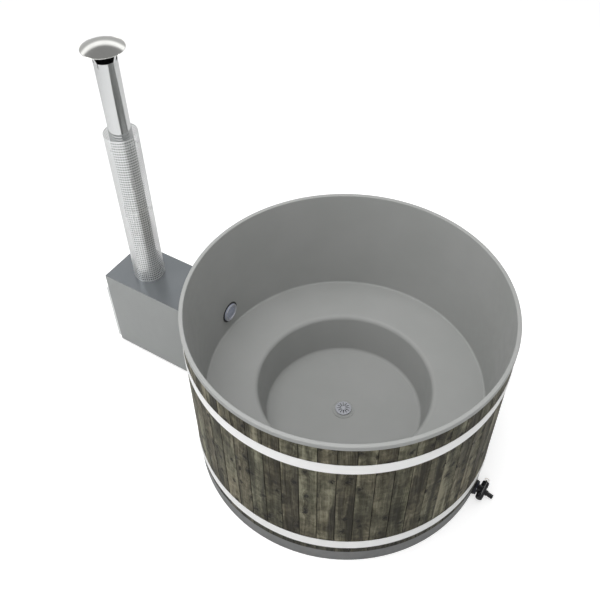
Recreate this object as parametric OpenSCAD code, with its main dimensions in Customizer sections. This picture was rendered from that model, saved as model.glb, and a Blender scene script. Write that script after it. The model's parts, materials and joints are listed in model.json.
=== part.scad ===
// Round outdoor hot tub with a one-piece liner, a wall of upright boards held by two steel hoops,
// a wood-fired water heater on one side and a drain tap on the other.
// Units are millimetres. The origin is the centre of the underside, +Z is up,
// the heater stands on the -X side and the drain tap points along +X.

/* [Tub] */
// Outer radius of the rim
rim_r = 900; // [700:5:1100]
// Height of the rim above the ground
rim_z = 1159; // [1000:1:1400]
// Height of the rim's outer skirt
rim_drop = 27.4; // [18:0.2:45]
// Thickness of the rim's outer skirt
skirt_t = 3.7; // [2.5:0.1:6]
// Thickness of the rim's flat top
rim_t = 6.3; // [4:0.1:10]
// Thickness of the liner
shell_t = 5; // [4:0.5:8]
// How far the liner's wall leans in from rim to bench
wall_taper = 53; // [30:1:80]
// Height of the bench where it meets the wall
bench_z = 465; // [400:1:560]
// Width of the bench
bench_w = 303; // [220:1:380]
// Fall of the bench towards the foot well
bench_fall = 14; // [0:1:25]
// Height of the foot well's floor
floor_z = 177; // [160:1:230]
// How far the foot well's wall leans in from bench to floor
well_taper = 44; // [20:1:80]

/* [Cladding] */
// Number of wall boards
board_n = 60; // [48:2:72]
// Thickness of a wall board
board_t = 12.5; // [10:0.5:18]
// Length of the tongue on a board's edge
tongue_l = 5; // [3:0.5:7]
// Thickness of the tongue
tongue_t = 4; // [3:0.5:5]
// Chamfer on the outer corners of a board
board_chamfer = 1.4; // [0.6:0.1:2.4]

/* [Hoops] */
// Distance from the rim's top down to the upper hoop's lower edge
hoop_drop = 231.5; // [180:0.5:300]
// Height of the lower hoop's lower edge
lower_hoop_z = 157; // [140:0.5:300]
// Width of a hoop
hoop_w = 74.2; // [50:0.2:90]
// Thickness of a hoop
hoop_t = 2.1; // [1.5:0.1:4]
// Gap between a hoop's two ears
hoop_gap = 44; // [30:1:60]
// How far a hoop's ears stand out
ear_l = 30; // [24:1:40]
// Diameter of a hoop bolt
hoop_bolt_d = 8; // [6:1:10]

/* [Base] */
// Height of the base ring above the tap's flange
base_over = 9; // [4:1:20]
// How far the base ring's top edge sits inside the boards
base_inset = 0.8; // [0:0.1:3]
// How far the base ring leans in from top to ground
base_draft = 2.6; // [0:0.2:6]
// Thickness of the base plate
plate_t = 12; // [8:1:16]
// Number of ribs under the bench
rib_n = 12; // [8:4:16]
// Thickness of a rib
rib_t = 18; // [12:1:24]
// Distance from the tub's axis to a rib's inner edge
rib_in_r = 150; // [135:1:200]

/* [Water fittings] */
// Height of the tap's flange above the ground
flange_up = 5; // [2:0.5:10]
// Outer radius of the water lines under the floor
line_r = 20; // [16:0.5:22]
// Wall thickness of pipes
pipe_wall = 3; // [2:0.5:4]
// Height of the hot water inlet above the bench
port_up = 140; // [100:1:200]
// Outer radius of the hot water line
hot_r = 25; // [20:0.5:26]
// Radius of the inlet's grille
port_r = 58; // [50:1:64]
// Radius of the floor drain's grille
drain_r = 50; // [42:1:60]
// Radius of the floor drain's flange
drain_flange_r = 70; // [66:1:80]
// Radius of the tap's wall flange
tap_flange_r = 45; // [40:1:50]
// Outer radius of the tap's barrel
barrel_r = 20; // [18:0.5:23]
// Radius of the tap's turning plug
plug_r = 14; // [11:0.5:15]
// Outer radius of the tap's hose tail
tail_r = 13.5; // [11:0.5:14]
// Length of the hose tail measured from the barrel's axis
tail_l = 69; // [60:1:90]
// Slope of the hose tail below level, in degrees
tail_slope = 17; // [0:1:18]

/* [Heater] */
// Distance from the rim to the heater's near face
heater_gap = 100; // [90:5:200]
// Length of the heater's casing
heater_l = 670; // [620:5:800]
// Width of the heater's casing
heater_w = 360; // [350:5:440]
// Height of the heater's top above the hot water line
heater_over = 10; // [8:1:40]
// Height of the heater's feet
foot_h = 20; // [12:1:22]
// Thickness of the casing's sheet
casing_t = 2; // [1.5:0.1:3]
// Thickness of the boiler's skins
skin_t = 3; // [2:0.5:5]
// Width of the water space at the firebox's sides
water_gap = 40; // [30:1:44]
// Width of the front frame beside its openings
frame_side = 54; // [48:1:60]
// Height of the front frame above the fire opening
frame_upper = 51.7; // [40:0.1:60]
// Height of the front frame below the ash opening
frame_lower = 20.3; // [15:0.1:30]
// Thickness of the front frame
frame_t = 8; // [6:0.5:10]
// Thickness of the fire door
door_t = 10; // [8:0.5:12]
// Height between the fire opening and the smoke baffle
lintel = 41.7; // [30:0.1:60]
// Height of the ash opening
ash_open_h = 66; // [50:1:80]

/* [Chimney] */
// Distance from the heater's outer end to the chimney's axis
flue_back = 219; // [170:1:260]
// Outer radius of the smoke pipe
pipe_r = 63.3; // [55:0.1:70]
// Height of the smoke pipe's top above the ground
pipe_top = 2145; // [1900:5:2500]
// Thickness of the smoke pipe
pipe_t = 1.2; // [1:0.1:2]
// Outer radius of the heat shield
shield_r = 96.2; // [88:0.1:110]
// Length of the heat shield
shield_l = 1066; // [800:2:1200]
// Thickness of the heat shield
shield_t = 1; // [0.8:0.1:2]
// Width of the heat shield's square holes
hole_w = 17; // [8:0.5:20]
// Number of holes around the heat shield
hole_n = 20; // [12:1:24]
// Number of rows of holes
hole_rows = 20; // [12:1:32]
// Radius of the rain cap's rim
cap_r = 115; // [105:1:150]
// Rise of the rain cap's dome
cap_rise = 45; // [35:1:70]
// Gap between the smoke pipe and the rain cap's rim
cap_gap = 60; // [40:1:80]
// Thickness of the rain cap
cap_t = 1.5; // [1:0.1:3]

/* [Hidden] */
$fn = 120;

// Clearance between pieces that sit together
fit = 0.3;
// Radial clearance of turning shafts and pins
running = 0.05;
// Overrun of cuts
over = 2;
// Steps in the arc of a rounded corner
arc_n = 6;
// Degrees in a radian
radian = 180 / PI;

// Rounded corners of the liner
rim_round = 5;
wall_round = 14;
edge_round = 32;
well_round = 25;

// Radii and heights that follow from the rim
board_corner_r = rim_r - skirt_t - fit;
board_half = 180 / board_n;
board_face_r = board_corner_r * cos(board_half);
board_back_r = board_face_r - board_t;
board_z1 = rim_z - rim_t - fit;
wall_out_top_r = board_back_r - fit;
wall_in_top_r = wall_out_top_r - shell_t;
bench_r = wall_in_top_r - wall_taper;
well_top_r = bench_r - bench_w;
well_bot_r = well_top_r - well_taper;
edge_z = bench_z - bench_fall;
wall_slope = wall_taper / (rim_z - bench_z);
function wall_in_r(z) = bench_r + (z - bench_z) * wall_slope;
function wall_out_r(z) = wall_in_r(z) + shell_t;

// Base ring and the water lines under the floor
line_z = tap_flange_r + flange_up;
base_h = line_z + tap_flange_r + base_over;
base_top_r = board_corner_r - base_inset;
base_bot_r = base_top_r - base_draft;
board_z0 = base_h + fit;
upper_hoop_z = rim_z - hoop_drop;
lip_t = 4;
lip_h = 20;
lip_out_r = board_back_r - fit;
ring_in_r = lip_out_r - lip_t;

// Floor drain
drain_flange_t = 3;
drain_tail_r = 30;
drain_tail_l = 72;
drain_dome_h = 11;
drain_grille_t = 2.5;
drain_slots = 12;
drain_slot_w = 5;
drain_slot_in = 16;
drain_slot_out = drain_r - 1.6 * drain_slot_w;
nut_t = 14;
nut_r = 46;
gasket_t = 3;
line_wall = 7;
tee_r = line_r + line_wall;
tee_half = 62;
tee_wall = 6;
tee_stop = 25;
tee_neck_z = floor_z - drain_tail_l;
tee_neck_h = 24;

// Hot water inlet
port_z = bench_z + port_up;
port_lap = 12;
port_gasket_r = port_r + port_lap;
boss_lap = 4;
boss_r = port_gasket_r + boss_lap;
boss_in = 12;
boss_out = 12.5;
port_tail_t = 5;
port_tail_r = hot_r + port_tail_t;
port_flange_t = 4;
port_gasket_t = 2;
port_dome_h = 6;
port_grille_t = 2.5;
port_slots = 7;
port_slot_w = 5;
port_slot_pitch = 13;
port_slot_rim = 11;
port_slot_reach = port_r - port_slot_rim;
boss_in_x = wall_in_r(port_z) - boss_in;
boss_out_x = wall_out_r(port_z) + boss_out - shell_t;
port_thread_x = boss_out_x + nut_t + fit;
pipe_joint = 6;
heater_near = rim_r + heater_gap;
joint_x = (board_corner_r + heater_near) / 2;
sleeve_t = 4.7;
sleeve_l = 84;
clamp_w = 12;
clamp_t = 1;
clamp_off = 27;
clamp_screw_r = 4;
clamp_screw_l = 22;

// Drain tap
tap_face_x = base_top_r + gasket_t;
tap_flange_t = 8;
tap_neck_t = 6;
tap_neck_r = line_r + tap_neck_t;
barrel_off = 47;
barrel_x = tap_face_x + barrel_off;
barrel_half = 38;
spindle_w = plug_r;
tap_socket_d = 18;
tap_bore_r = 8;
tap_boss_t = 3.5;
tap_boss_r = tail_r + tap_boss_t;
tap_boss_l = 32;
tail_start = 22;
tail_step = 0.8;
tail_wall = 4.5;
tail_bore_r = tail_r - tail_wall;
cap_over = 1;
knob_r = barrel_r + cap_over;
knob_l = 24;
knob_round = 9;
knob_flutes = 10;
knob_flute_r = 2.5;
end_cap_r = barrel_r + cap_over;
end_cap_l = 19;
ring_wire_r = 1.3;
ring_r = 13;
ring_lug_r = 4.5;
ring_lug_t = 5;
ring_lug_y = barrel_half + fit + end_cap_l + ring_lug_r * 0.6;
ring_lug_z = line_z + end_cap_r - ring_lug_r / 3;

// Heater casing and boiler
heater_far = heater_near + heater_l;
heater_top = port_z + hot_r + heater_over;
flue_x = heater_far - flue_back;
boiler_side = 22;
boiler_front = 20;
boiler_near = 24;
boiler_floor = casing_t + fit;
boiler_roof = 8;
boiler_x0 = -heater_far + boiler_front;
boiler_x1 = -heater_near - boiler_near;
boiler_half = heater_w / 2 - boiler_side;
boiler_z0 = foot_h + boiler_floor;
boiler_z1 = heater_top - boiler_roof;
water_floor = 48;
water_roof = 56;
water_back = 60;
fire_half = boiler_half - water_gap - 2 * skin_t;
fire_z0 = boiler_z0 + water_floor + 2 * skin_t;
fire_z1 = boiler_z1 - water_roof - 2 * skin_t;
fire_x1 = boiler_x1 - water_back - 2 * skin_t;
spigot_r = pipe_r - pipe_t - fit;
spigot_h = 24;
ledge_w = 12;
ledge_t = 6;
grate_over = 10;
grate_z = fire_z0 + ash_open_h + grate_over;
grate_t = 14;
grate_bar = 12;
grate_slot = 12;
grate_rim = 14;
baffle_down = 76;
baffle_z = fire_z1 - baffle_down;
baffle_t = 6;
baffle_half = 110;
foot_r = 22;
foot_pad_t = 7;
foot_stem_r = 9;
foot_inset = 40;

// Front frame, fire door and ash drawer
frame_x = -heater_far - frame_t;
opening_side = 5;
opening_half = fire_half - opening_side;
ash_sill = 2;
ash_open_z0 = fire_z0 - ash_sill;
ash_open_z1 = ash_open_z0 + ash_open_h;
fire_sill = 6;
fire_open_z0 = grate_z + grate_t + fire_sill;
fire_open_z1 = baffle_z - lintel;
frame_half = opening_half + frame_side;
frame_z = ash_open_z0 - frame_lower;
frame_top = fire_open_z1 + frame_upper;
seal_t = 3;
seal_w = 9;
seal_back = 4;
hinge_in = 15;
hinge_out = 16;
hinge_y = frame_half - hinge_in;
front_half = hinge_y - hinge_out;
door_lap = 18;
door_z0 = fire_open_z0 - door_lap;
door_z1 = fire_open_z1 + door_lap;
door_h = door_z1 - door_z0;
door_x = frame_x - seal_t;
ash_lap = 11;
ash_front_z0 = ash_open_z0 - ash_lap;
ash_front_h = ash_open_h + 2 * ash_lap;
hinge_pin_r = 3;
knuckle_r = 7;
hinge_sink = 3;
hinge_x = door_x - door_t + hinge_sink;
knuckle_h = 15;
hinge_z_shares = [0.2, 0.8];
pin_head_r = 5;
pin_head_t = 3;
latch_in = 15;
latch_y = -opening_half + latch_in;
latch_z = (door_z0 + door_z1) / 2;
latch_r = 6;
tongue_reach = 30;
tongue_w = 12;
tongue_thick = 5;
collar_r = 11;
collar_t = 6;
lever_l = 78;
lever_t = 7;
grip_r = 11;
grip_l = 46;
drawer_side = 6;
drawer_half = opening_half - drawer_side;
drawer_stop = 111;
drawer_l = fire_x1 - door_x - drawer_stop;
drawer_top = 6;
drawer_h = ash_open_h - ash_sill - drawer_top;
drawer_t = 2;
pull_half = 45;
pull_r = 5;
pull_out = 30;
air_slots = 5;
air_slot_w = 9;
air_slot_h = 26;
air_pitch = 20;
air_t = 3;
air_w = 116;
air_h = 36;
air_knob_r = 5;
air_knob_l = 9;
guide_t = 1.5;
guide_h = 4;
guide_lap = 2.5;
air_z = ash_front_z0 + ash_front_h * 0.38;

// Chimney
collar_gap = 11.2;
collar_flange_r = shield_r - shield_t - collar_gap;
collar_sheet = 2;
collar_h = 18;
shield_band = 14;
spacer_h = 20;
spacer_t = 1.5;
spacer_n = 3;
spacer_w = 14;
spacer_lip = 2;
spacer_shares = [0.06, 0.5, 0.94];
cap_rim_z = pipe_top + cap_gap;
cap_sphere_r = (cap_r * cap_r + cap_rise * cap_rise) / (2 * cap_rise);
cap_centre_z = cap_rim_z + cap_rise - cap_sphere_r;
cap_bead_r = 2.5;
strap_n = 4;
strap_w = 15;
strap_t = 1.5;
strap_lap = 28;
strap_in = 29;
strap_top_r = cap_r - strap_in;

// Points along the arc that rounds the corner b between a and c, or b itself where r is zero
function corner(a, b, c, r) =
    r == 0 ? [b] :
    let (u = (a - b) / norm(a - b), v = (c - b) / norm(c - b), half = acos(u * v) / 2,
        mid = b + (u + v) / norm(u + v) * r / sin(half), s = (b + u * r / tan(half) - mid) / r,
        e = (b + v * r / tan(half) - mid) / r, sweep = 180 - 2 * half)
    [for (i = [0:arc_n])
        mid + r * (s * sin(sweep * (1 - i / arc_n)) + e * sin(sweep * i / arc_n)) / sin(sweep)];

// Outline through points [x, y, corner radius]
function rounded(p) =
    let (n = len(p))
    [for (i = [0:n - 1])
        let (a = p[(i + n - 1) % n], b = p[i], c = p[(i + 1) % n])
        each corner([a[0], a[1]], [b[0], b[1]], [c[0], c[1]], b[2])];

// Point at radius r and angle a in degrees, turned by the arc length s
function polar(r, a, s = 0) = [r * cos(a + s / r * radian), r * sin(a + s / r * radian)];

// Block between two corners
module block(low, high) {
    translate(low) cube(high - low);
}

// Cylinder along X from x0 to x1
module bar_x(r, x0, x1, y = 0, z = 0) {
    translate([x0, y, z]) rotate([0, 90, 0]) cylinder(r = r, h = x1 - x0);
}

// Cylinder along Y from y0 to y1
module bar_y(r, y0, y1, x = 0, z = 0) {
    translate([x, y1, z]) rotate([90, 0, 0]) cylinder(r = r, h = y1 - y0);
}

// Ring of wall thickness t around the Z axis
module tube(r, t, h) {
    difference() {
        cylinder(r = r, h = h);
        translate([0, 0, -over]) cylinder(r = r - t, h = h + 2 * over);
    }
}

// Hexagonal bar along X with its near face at x0
module hex_x(across, t, x0) {
    translate([x0, 0, 0]) rotate([0, 90, 0]) cylinder(r = across / sqrt(3), h = t, $fn = 6);
}

// Hexagonal nut along X with its near face at x0
module nut_x(across, t, bore, x0) {
    difference() {
        hex_x(across, t, x0);
        bar_x(bore, x0 - over, x0 + t + over);
    }
}

// Domed disc with its flat side on z = 0
module dome(r, rise, t) {
    sphere_r = (r * r + rise * rise) / (2 * rise);
    difference() {
        intersection() {
            translate([0, 0, rise - sphere_r]) sphere(r = sphere_r, $fn = 360);
            cylinder(r = r, h = rise + over);
        }
        intersection() {
            translate([0, 0, rise - sphere_r]) sphere(r = sphere_r - t, $fn = 360);
            translate([0, 0, -over]) cylinder(r = r - t, h = rise + 2 * over);
        }
    }
}

// Liner: rim, leaning wall, bench, foot well and floor in one skin
module tub_liner() {
    profile = rounded([
        [rim_r, rim_z - rim_drop, 0], [rim_r, rim_z, rim_round], [wall_in_top_r, rim_z, rim_round],
        [bench_r, bench_z, wall_round], [well_top_r, edge_z, edge_round],
        [well_bot_r, floor_z, well_round], [drain_tail_r + fit, floor_z, 0],
        [drain_tail_r + fit, floor_z - shell_t, 0],
        [well_bot_r + shell_t, floor_z - shell_t, well_round + shell_t],
        [well_top_r + shell_t, edge_z - shell_t, edge_round - shell_t],
        [wall_out_r(bench_z - shell_t), bench_z - shell_t, wall_round + shell_t],
        [wall_out_r(rim_z - rim_t), rim_z - rim_t, 0], [rim_r - skirt_t, rim_z - rim_t, 0],
        [rim_r - skirt_t, rim_z - rim_drop, 0]]);
    color("darkgray") difference() {
        union() {
            rotate_extrude() polygon(profile);
            bar_x(boss_r, -boss_out_x, -boss_in_x, z = port_z);
        }
        bar_x(port_tail_r + fit, -boss_out_x - over, -boss_in_x + over, z = port_z);
    }
}

module base_plate() {
    color("dimgray") cylinder(r = ring_in_r - fit, h = plate_t);
}

// Skirt at the ground with a lip behind the boards and a hole for each water line
module base_ring() {
    color("dimgray") difference() {
        rotate_extrude() polygon([
            [ring_in_r, 0], [base_bot_r, 0], [base_top_r, base_h], [lip_out_r, base_h],
            [lip_out_r, base_h + lip_h], [ring_in_r, base_h + lip_h]]);
        bar_x(line_r + fit, -base_top_r - over, -ring_in_r + over, z = line_z);
        bar_x(line_r + fit, ring_in_r - over, base_top_r + over, z = line_z);
    }
}

// Upright ribs that carry the bench and the foot well's floor
module bench_ribs() {
    out_r = ring_in_r - fit;
    z0 = plate_t;
    outline = rounded([
        [rib_in_r, z0, 0], [out_r, z0, 0], [out_r, bench_z - shell_t - fit, 0],
        [bench_r, bench_z - shell_t - fit, 0],
        [well_top_r + shell_t + fit, edge_z - shell_t - fit, edge_round],
        [well_bot_r + shell_t + fit, floor_z - shell_t - fit, 0],
        [rib_in_r, floor_z - shell_t - fit, 0]]);
    color("burlywood") for (i = [0:rib_n - 1])
        rotate([0, 0, (i + 0.5) * 360 / rib_n]) translate([0, rib_t / 2, 0])
            rotate([90, 0, 0]) linear_extrude(rib_t) polygon(outline);
}

// Foam between the liner's wall and the boards
module wall_insulation() {
    thin_t = 5;
    z0 = bench_z;
    z1 = rim_z - (thin_t + 2 * fit) / wall_slope;
    color("khaki") difference() {
        rotate_extrude() polygon([
            [wall_out_r(z0) + fit, z0], [board_back_r - fit, z0], [board_back_r - fit, z1],
            [wall_out_r(z1) + fit, z1]]);
        bar_x(boss_r + fit, -board_back_r, -boss_in_x, z = port_z);
    }
}

// Plan of one wall board, with its tongue on one edge and its groove on the other
module board_plan() {
    mid_r = (board_back_r + board_face_r) / 2;
    slot_t = tongue_t / 2 + fit / 2;
    corner_back_r = board_back_r / cos(board_half);
    a = board_half;
    side = -fit / 2;
    polygon([
        polar(corner_back_r, a, side), polar(mid_r - tongue_t / 2, a, side),
        polar(mid_r - tongue_t / 2, a, side + tongue_l), polar(mid_r + tongue_t / 2, a, side + tongue_l),
        polar(mid_r + tongue_t / 2, a, side), polar(board_corner_r - board_chamfer, a, side),
        polar(board_corner_r, a, side - board_chamfer), polar(board_corner_r, -a, board_chamfer - side),
        polar(board_corner_r - board_chamfer, -a, -side), polar(mid_r + slot_t, -a, -side),
        polar(mid_r + slot_t, -a, tongue_l), polar(mid_r - slot_t, -a, tongue_l),
        polar(mid_r - slot_t, -a, -side), polar(corner_back_r, -a, -side)]);
}

module wall_board(i) {
    rotate([0, 0, (i + 0.5) * 2 * board_half]) translate([0, 0, board_z0])
        linear_extrude(board_z1 - board_z0) board_plan();
}

module wall_boards() {
    color("#49473f") for (i = [0:board_n - 1])
        if (i < board_n / 2 - 1 || i > board_n / 2) wall_board(i);
}

// The two boards that share the hole for the hot water line
module port_boards() {
    color("#49473f") difference() {
        for (i = [board_n / 2 - 1, board_n / 2]) wall_board(i);
        bar_x(port_tail_r + fit, -board_corner_r - over, -board_back_r + over, z = port_z);
    }
}

// Steel hoop with a pair of bored ears on the +Y side
module hoop(z0) {
    hoop_in_r = board_corner_r + fit;
    ear_t = hoop_t * 2;
    translate([0, 0, z0]) difference() {
        union() {
            difference() {
                tube(hoop_in_r + hoop_t, hoop_t, hoop_w);
                block([-hoop_gap / 2, 0, -over], [hoop_gap / 2, rim_r + ear_l, hoop_w + over]);
            }
            for (side = [-1, 1])
                translate([side * (hoop_gap + ear_t) / 2 - ear_t / 2, hoop_in_r, 0])
                    cube([ear_t, ear_l, hoop_w]);
        }
        for (share = [0.25, 0.75])
            bar_x(hoop_bolt_d / 2 + fit, -hoop_gap, hoop_gap, hoop_in_r + ear_l * 0.6, hoop_w * share);
    }
}

module upper_hoop() {
    color("gainsboro") hoop(upper_hoop_z);
}

module lower_hoop() {
    color("gainsboro") hoop(lower_hoop_z);
}

// Places of the hoop bolts
module at_hoop_bolts() {
    for (z0 = [lower_hoop_z, upper_hoop_z], share = [0.25, 0.75])
        translate([0, board_corner_r + fit + ear_l * 0.6, z0 + hoop_w * share]) children();
}

module hoop_bolts() {
    face = hoop_gap / 2 + hoop_t * 2;
    color("silver") at_hoop_bolts() union() {
        bar_x(hoop_bolt_d / 2, -face, face + hoop_bolt_d * 1.6);
        hex_x(hoop_bolt_d * 1.6, hoop_bolt_d * 0.65, -face - hoop_bolt_d * 0.65);
    }
}

module hoop_nuts() {
    face = hoop_gap / 2 + hoop_t * 2;
    color("silver") at_hoop_bolts()
        nut_x(hoop_bolt_d * 1.6, hoop_bolt_d * 0.8, hoop_bolt_d / 2 + running, face);
}

// Domed floor grille with radial slots
module drain_grille() {
    color("lightsteelblue") translate([0, 0, floor_z + drain_flange_t]) difference() {
        dome(drain_r, drain_dome_h, drain_grille_t);
        for (i = [0:drain_slots - 1]) rotate([0, 0, i * 360 / drain_slots])
            block([drain_slot_in, -drain_slot_w / 2, -over],
                [drain_slot_out, drain_slot_w / 2, drain_dome_h + over]);
    }
}

module drain_body() {
    color("slategray") translate([0, 0, floor_z]) difference() {
        union() {
            cylinder(r = drain_flange_r, h = drain_flange_t);
            translate([0, 0, -drain_tail_l]) cylinder(r = drain_tail_r, h = drain_tail_l + over);
        }
        translate([0, 0, -drain_tail_l - over])
            cylinder(r = drain_tail_r - pipe_wall, h = drain_tail_l + drain_flange_t + 2 * over);
    }
}

module drain_gasket() {
    color("black") translate([0, 0, floor_z - shell_t - gasket_t]) difference() {
        cylinder(r = nut_r, h = gasket_t);
        translate([0, 0, -over]) cylinder(r = drain_tail_r + fit, h = gasket_t + 2 * over);
    }
}

module drain_locknut() {
    color("slategray") translate([0, 0, floor_z - shell_t - gasket_t]) rotate([0, 90, 0])
        nut_x(nut_r * sqrt(3), nut_t, drain_tail_r + fit, 0);
}

// Tee that joins the floor drain to the tap's line and the heater's feed line
module drain_tee() {
    color("slategray") difference() {
        union() {
            translate([0, 0, line_z])
                cylinder(r = drain_tail_r + tee_wall, h = tee_neck_z + tee_neck_h - line_z);
            bar_x(tee_r, -tee_half, tee_half, z = line_z);
        }
        translate([0, 0, tee_neck_z]) cylinder(r = drain_tail_r + fit, h = tee_neck_h + over);
        translate([0, 0, line_z])
            cylinder(r = line_r - pipe_wall, h = tee_neck_z + tee_neck_h + over - line_z);
        bar_x(line_r - pipe_wall, -tee_half - over, tee_half + over, z = line_z);
        bar_x(line_r + fit, -tee_half - over, -tee_stop, z = line_z);
        bar_x(line_r + fit, tee_stop, tee_half + over, z = line_z);
    }
}

module line_pipe(x0, x1) {
    difference() {
        bar_x(line_r, x0, x1, z = line_z);
        bar_x(line_r - pipe_wall, x0 - over, x1 + over, z = line_z);
    }
}

module drain_pipe() {
    color("slategray") line_pipe(tee_stop + fit, tap_face_x + tap_socket_d - fit);
}

module feed_pipe() {
    color("slategray") line_pipe(-joint_x + pipe_joint, -tee_stop - fit);
}

// Round inlet grille with level slots, domed towards the water
module port_grille() {
    face_x = boss_in_x - port_gasket_t - port_flange_t;
    color("lightsteelblue") translate([-face_x, 0, port_z]) rotate([0, 90, 0]) difference() {
        dome(port_r, port_dome_h, port_grille_t);
        for (i = [0:port_slots - 1])
            let (v = (i - (port_slots - 1) / 2) * port_slot_pitch,
                reach = sqrt(port_slot_reach * port_slot_reach - v * v))
            block([v - port_slot_w / 2, -reach, -over], [v + port_slot_w / 2, reach, port_dome_h + over]);
    }
}

// Through-wall fitting with a threaded tail and a plain end for the sleeve
module port_body() {
    face_x = boss_in_x - port_gasket_t;
    color("slategray") difference() {
        union() {
            bar_x(port_r, -face_x, -face_x + port_flange_t, z = port_z);
            bar_x(port_tail_r, -port_thread_x, -face_x, z = port_z);
            bar_x(hot_r, -joint_x + pipe_joint, -face_x, z = port_z);
        }
        bar_x(hot_r - pipe_wall, -joint_x, -face_x + port_flange_t + over, z = port_z);
    }
}

module port_gasket() {
    color("black") difference() {
        bar_x(port_gasket_r, -boss_in_x, -boss_in_x + port_gasket_t, z = port_z);
        bar_x(port_tail_r + fit, -boss_in_x - over, -boss_in_x + port_gasket_t + over, z = port_z);
    }
}

module port_locknut() {
    color("slategray") translate([0, 0, port_z])
        nut_x(nut_r * sqrt(3), nut_t, port_tail_r + fit, -boss_out_x - nut_t);
}

// Rubber sleeve over the joint between a tub pipe and a heater pipe
module sleeve(r, z) {
    translate([-joint_x - sleeve_l / 2, 0, z]) rotate([0, 90, 0])
        tube(r + fit + sleeve_t, sleeve_t, sleeve_l);
}

module upper_sleeve() {
    color("black") sleeve(hot_r, port_z);
}

module lower_sleeve() {
    color("black") sleeve(line_r, line_z);
}

// Band clamps, two on each sleeve, with their screws on top
module hose_clamps() {
    color("silver") for (line = [[hot_r, port_z], [line_r, line_z]], side = [-1, 1]) {
        band_r = line[0] + sleeve_t + 2 * fit;
        translate([-joint_x + side * clamp_off, 0, line[1]]) union() {
            translate([-clamp_w / 2, 0, 0]) rotate([0, 90, 0]) tube(band_r + clamp_t, clamp_t, clamp_w);
            bar_y(clamp_screw_r, -clamp_screw_l / 2, clamp_screw_l / 2, 0, band_r + clamp_screw_r);
        }
    }
}

// Rubber pad shaped to the base ring on one face and flat on the other
module tap_gasket() {
    color("black") difference() {
        bar_x(tap_flange_r, ring_in_r, tap_face_x, z = line_z);
        cylinder(r1 = base_bot_r + fit, r2 = base_top_r + fit, h = base_h, $fn = 720);
        bar_x(line_r + fit, ring_in_r - over, tap_face_x + over, z = line_z);
    }
}

// Places its children on the hose tail's axis, which leaves the barrel's centre
module on_tail() {
    translate([barrel_x, 0, line_z]) rotate([0, 90 + tail_slope, 0]) children();
}

module tap_body() {
    color("#1c1d1d") difference() {
        union() {
            bar_x(tap_flange_r, tap_face_x, tap_face_x + tap_flange_t, z = line_z);
            bar_x(tap_neck_r, tap_face_x, barrel_x, z = line_z);
            bar_y(barrel_r, -barrel_half, barrel_half, barrel_x, line_z);
            on_tail() cylinder(r = tap_boss_r, h = tap_boss_l);
        }
        bar_x(line_r + fit, tap_face_x - over, tap_face_x + tap_socket_d, z = line_z);
        bar_x(tap_bore_r, tap_face_x, barrel_x, z = line_z);
        bar_y(plug_r + running, -barrel_half - over, barrel_half + over, barrel_x, line_z);
        on_tail() cylinder(r = tap_bore_r, h = tap_boss_l);
        on_tail() translate([0, 0, tail_start]) cylinder(r = tail_r + tail_step + fit, h = tap_boss_l);
    }
}

// Turning plug, bored across, with a squared spindle into the knob
module tap_plug() {
    color("#2a2b2b") difference() {
        union() {
            bar_y(plug_r, -barrel_half, barrel_half, barrel_x, line_z);
            block([barrel_x - spindle_w / 2, -barrel_half - knob_l / 2, line_z - spindle_w / 2],
                [barrel_x + spindle_w / 2, -barrel_half + over, line_z + spindle_w / 2]);
        }
        translate([barrel_x, 0, line_z - plug_r - over]) cylinder(r = tap_bore_r, h = 2 * (plug_r + over));
    }
}

// Round-ended knob with a fluted grip
module tap_knob() {
    y1 = -barrel_half - fit;
    socket = spindle_w / 2 + fit;
    profile = rounded([[0, 0, 0], [knob_r, 0, fit], [knob_r, knob_l, knob_round], [0, knob_l, 0]]);
    color("#1c1d1d") difference() {
        translate([barrel_x, y1, line_z]) rotate([90, 0, 0]) difference() {
            rotate_extrude() polygon(profile);
            for (i = [0:knob_flutes - 1]) rotate([0, 0, i * 360 / knob_flutes])
                translate([knob_r + knob_flute_r / 2, 0, -over])
                    cylinder(r = knob_flute_r, h = knob_l + 2 * over);
        }
        block([barrel_x - socket, -barrel_half - knob_l / 2 - fit, line_z - socket],
            [barrel_x + socket, y1 + over, line_z + socket]);
    }
}

// Cap that closes the barrel's far end, with a lug for the wire ring
module tap_end_cap() {
    y0 = barrel_half + fit;
    color("#1c1d1d") difference() {
        union() {
            bar_y(end_cap_r, y0, y0 + end_cap_l, barrel_x, line_z);
            bar_x(ring_lug_r, barrel_x - ring_lug_t / 2, barrel_x + ring_lug_t / 2, ring_lug_y, ring_lug_z);
            block([barrel_x - ring_lug_t / 2, y0 + end_cap_l / 2, ring_lug_z - ring_lug_r],
                [barrel_x + ring_lug_t / 2, ring_lug_y, ring_lug_z + ring_lug_r]);
        }
        bar_x(ring_wire_r + fit, barrel_x - ring_lug_t, barrel_x + ring_lug_t, ring_lug_y, ring_lug_z);
    }
}

module tap_wire_ring() {
    color("peru") translate([barrel_x, ring_lug_y, ring_lug_z + ring_r]) rotate([90, 0, 0])
        rotate_extrude() translate([ring_r, 0]) circle(r = ring_wire_r, $fn = 32);
}

module tap_hose_tail() {
    color("#1c1d1d") on_tail() difference() {
        union() {
            translate([0, 0, tail_start + fit])
                cylinder(r = tail_r + tail_step, h = tap_boss_l - tail_start - fit);
            translate([0, 0, tap_boss_l]) cylinder(r = tail_r, h = tail_l - tap_boss_l);
        }
        translate([0, 0, tail_start - over]) cylinder(r = tail_bore_r, h = tail_l);
    }
}

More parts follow.
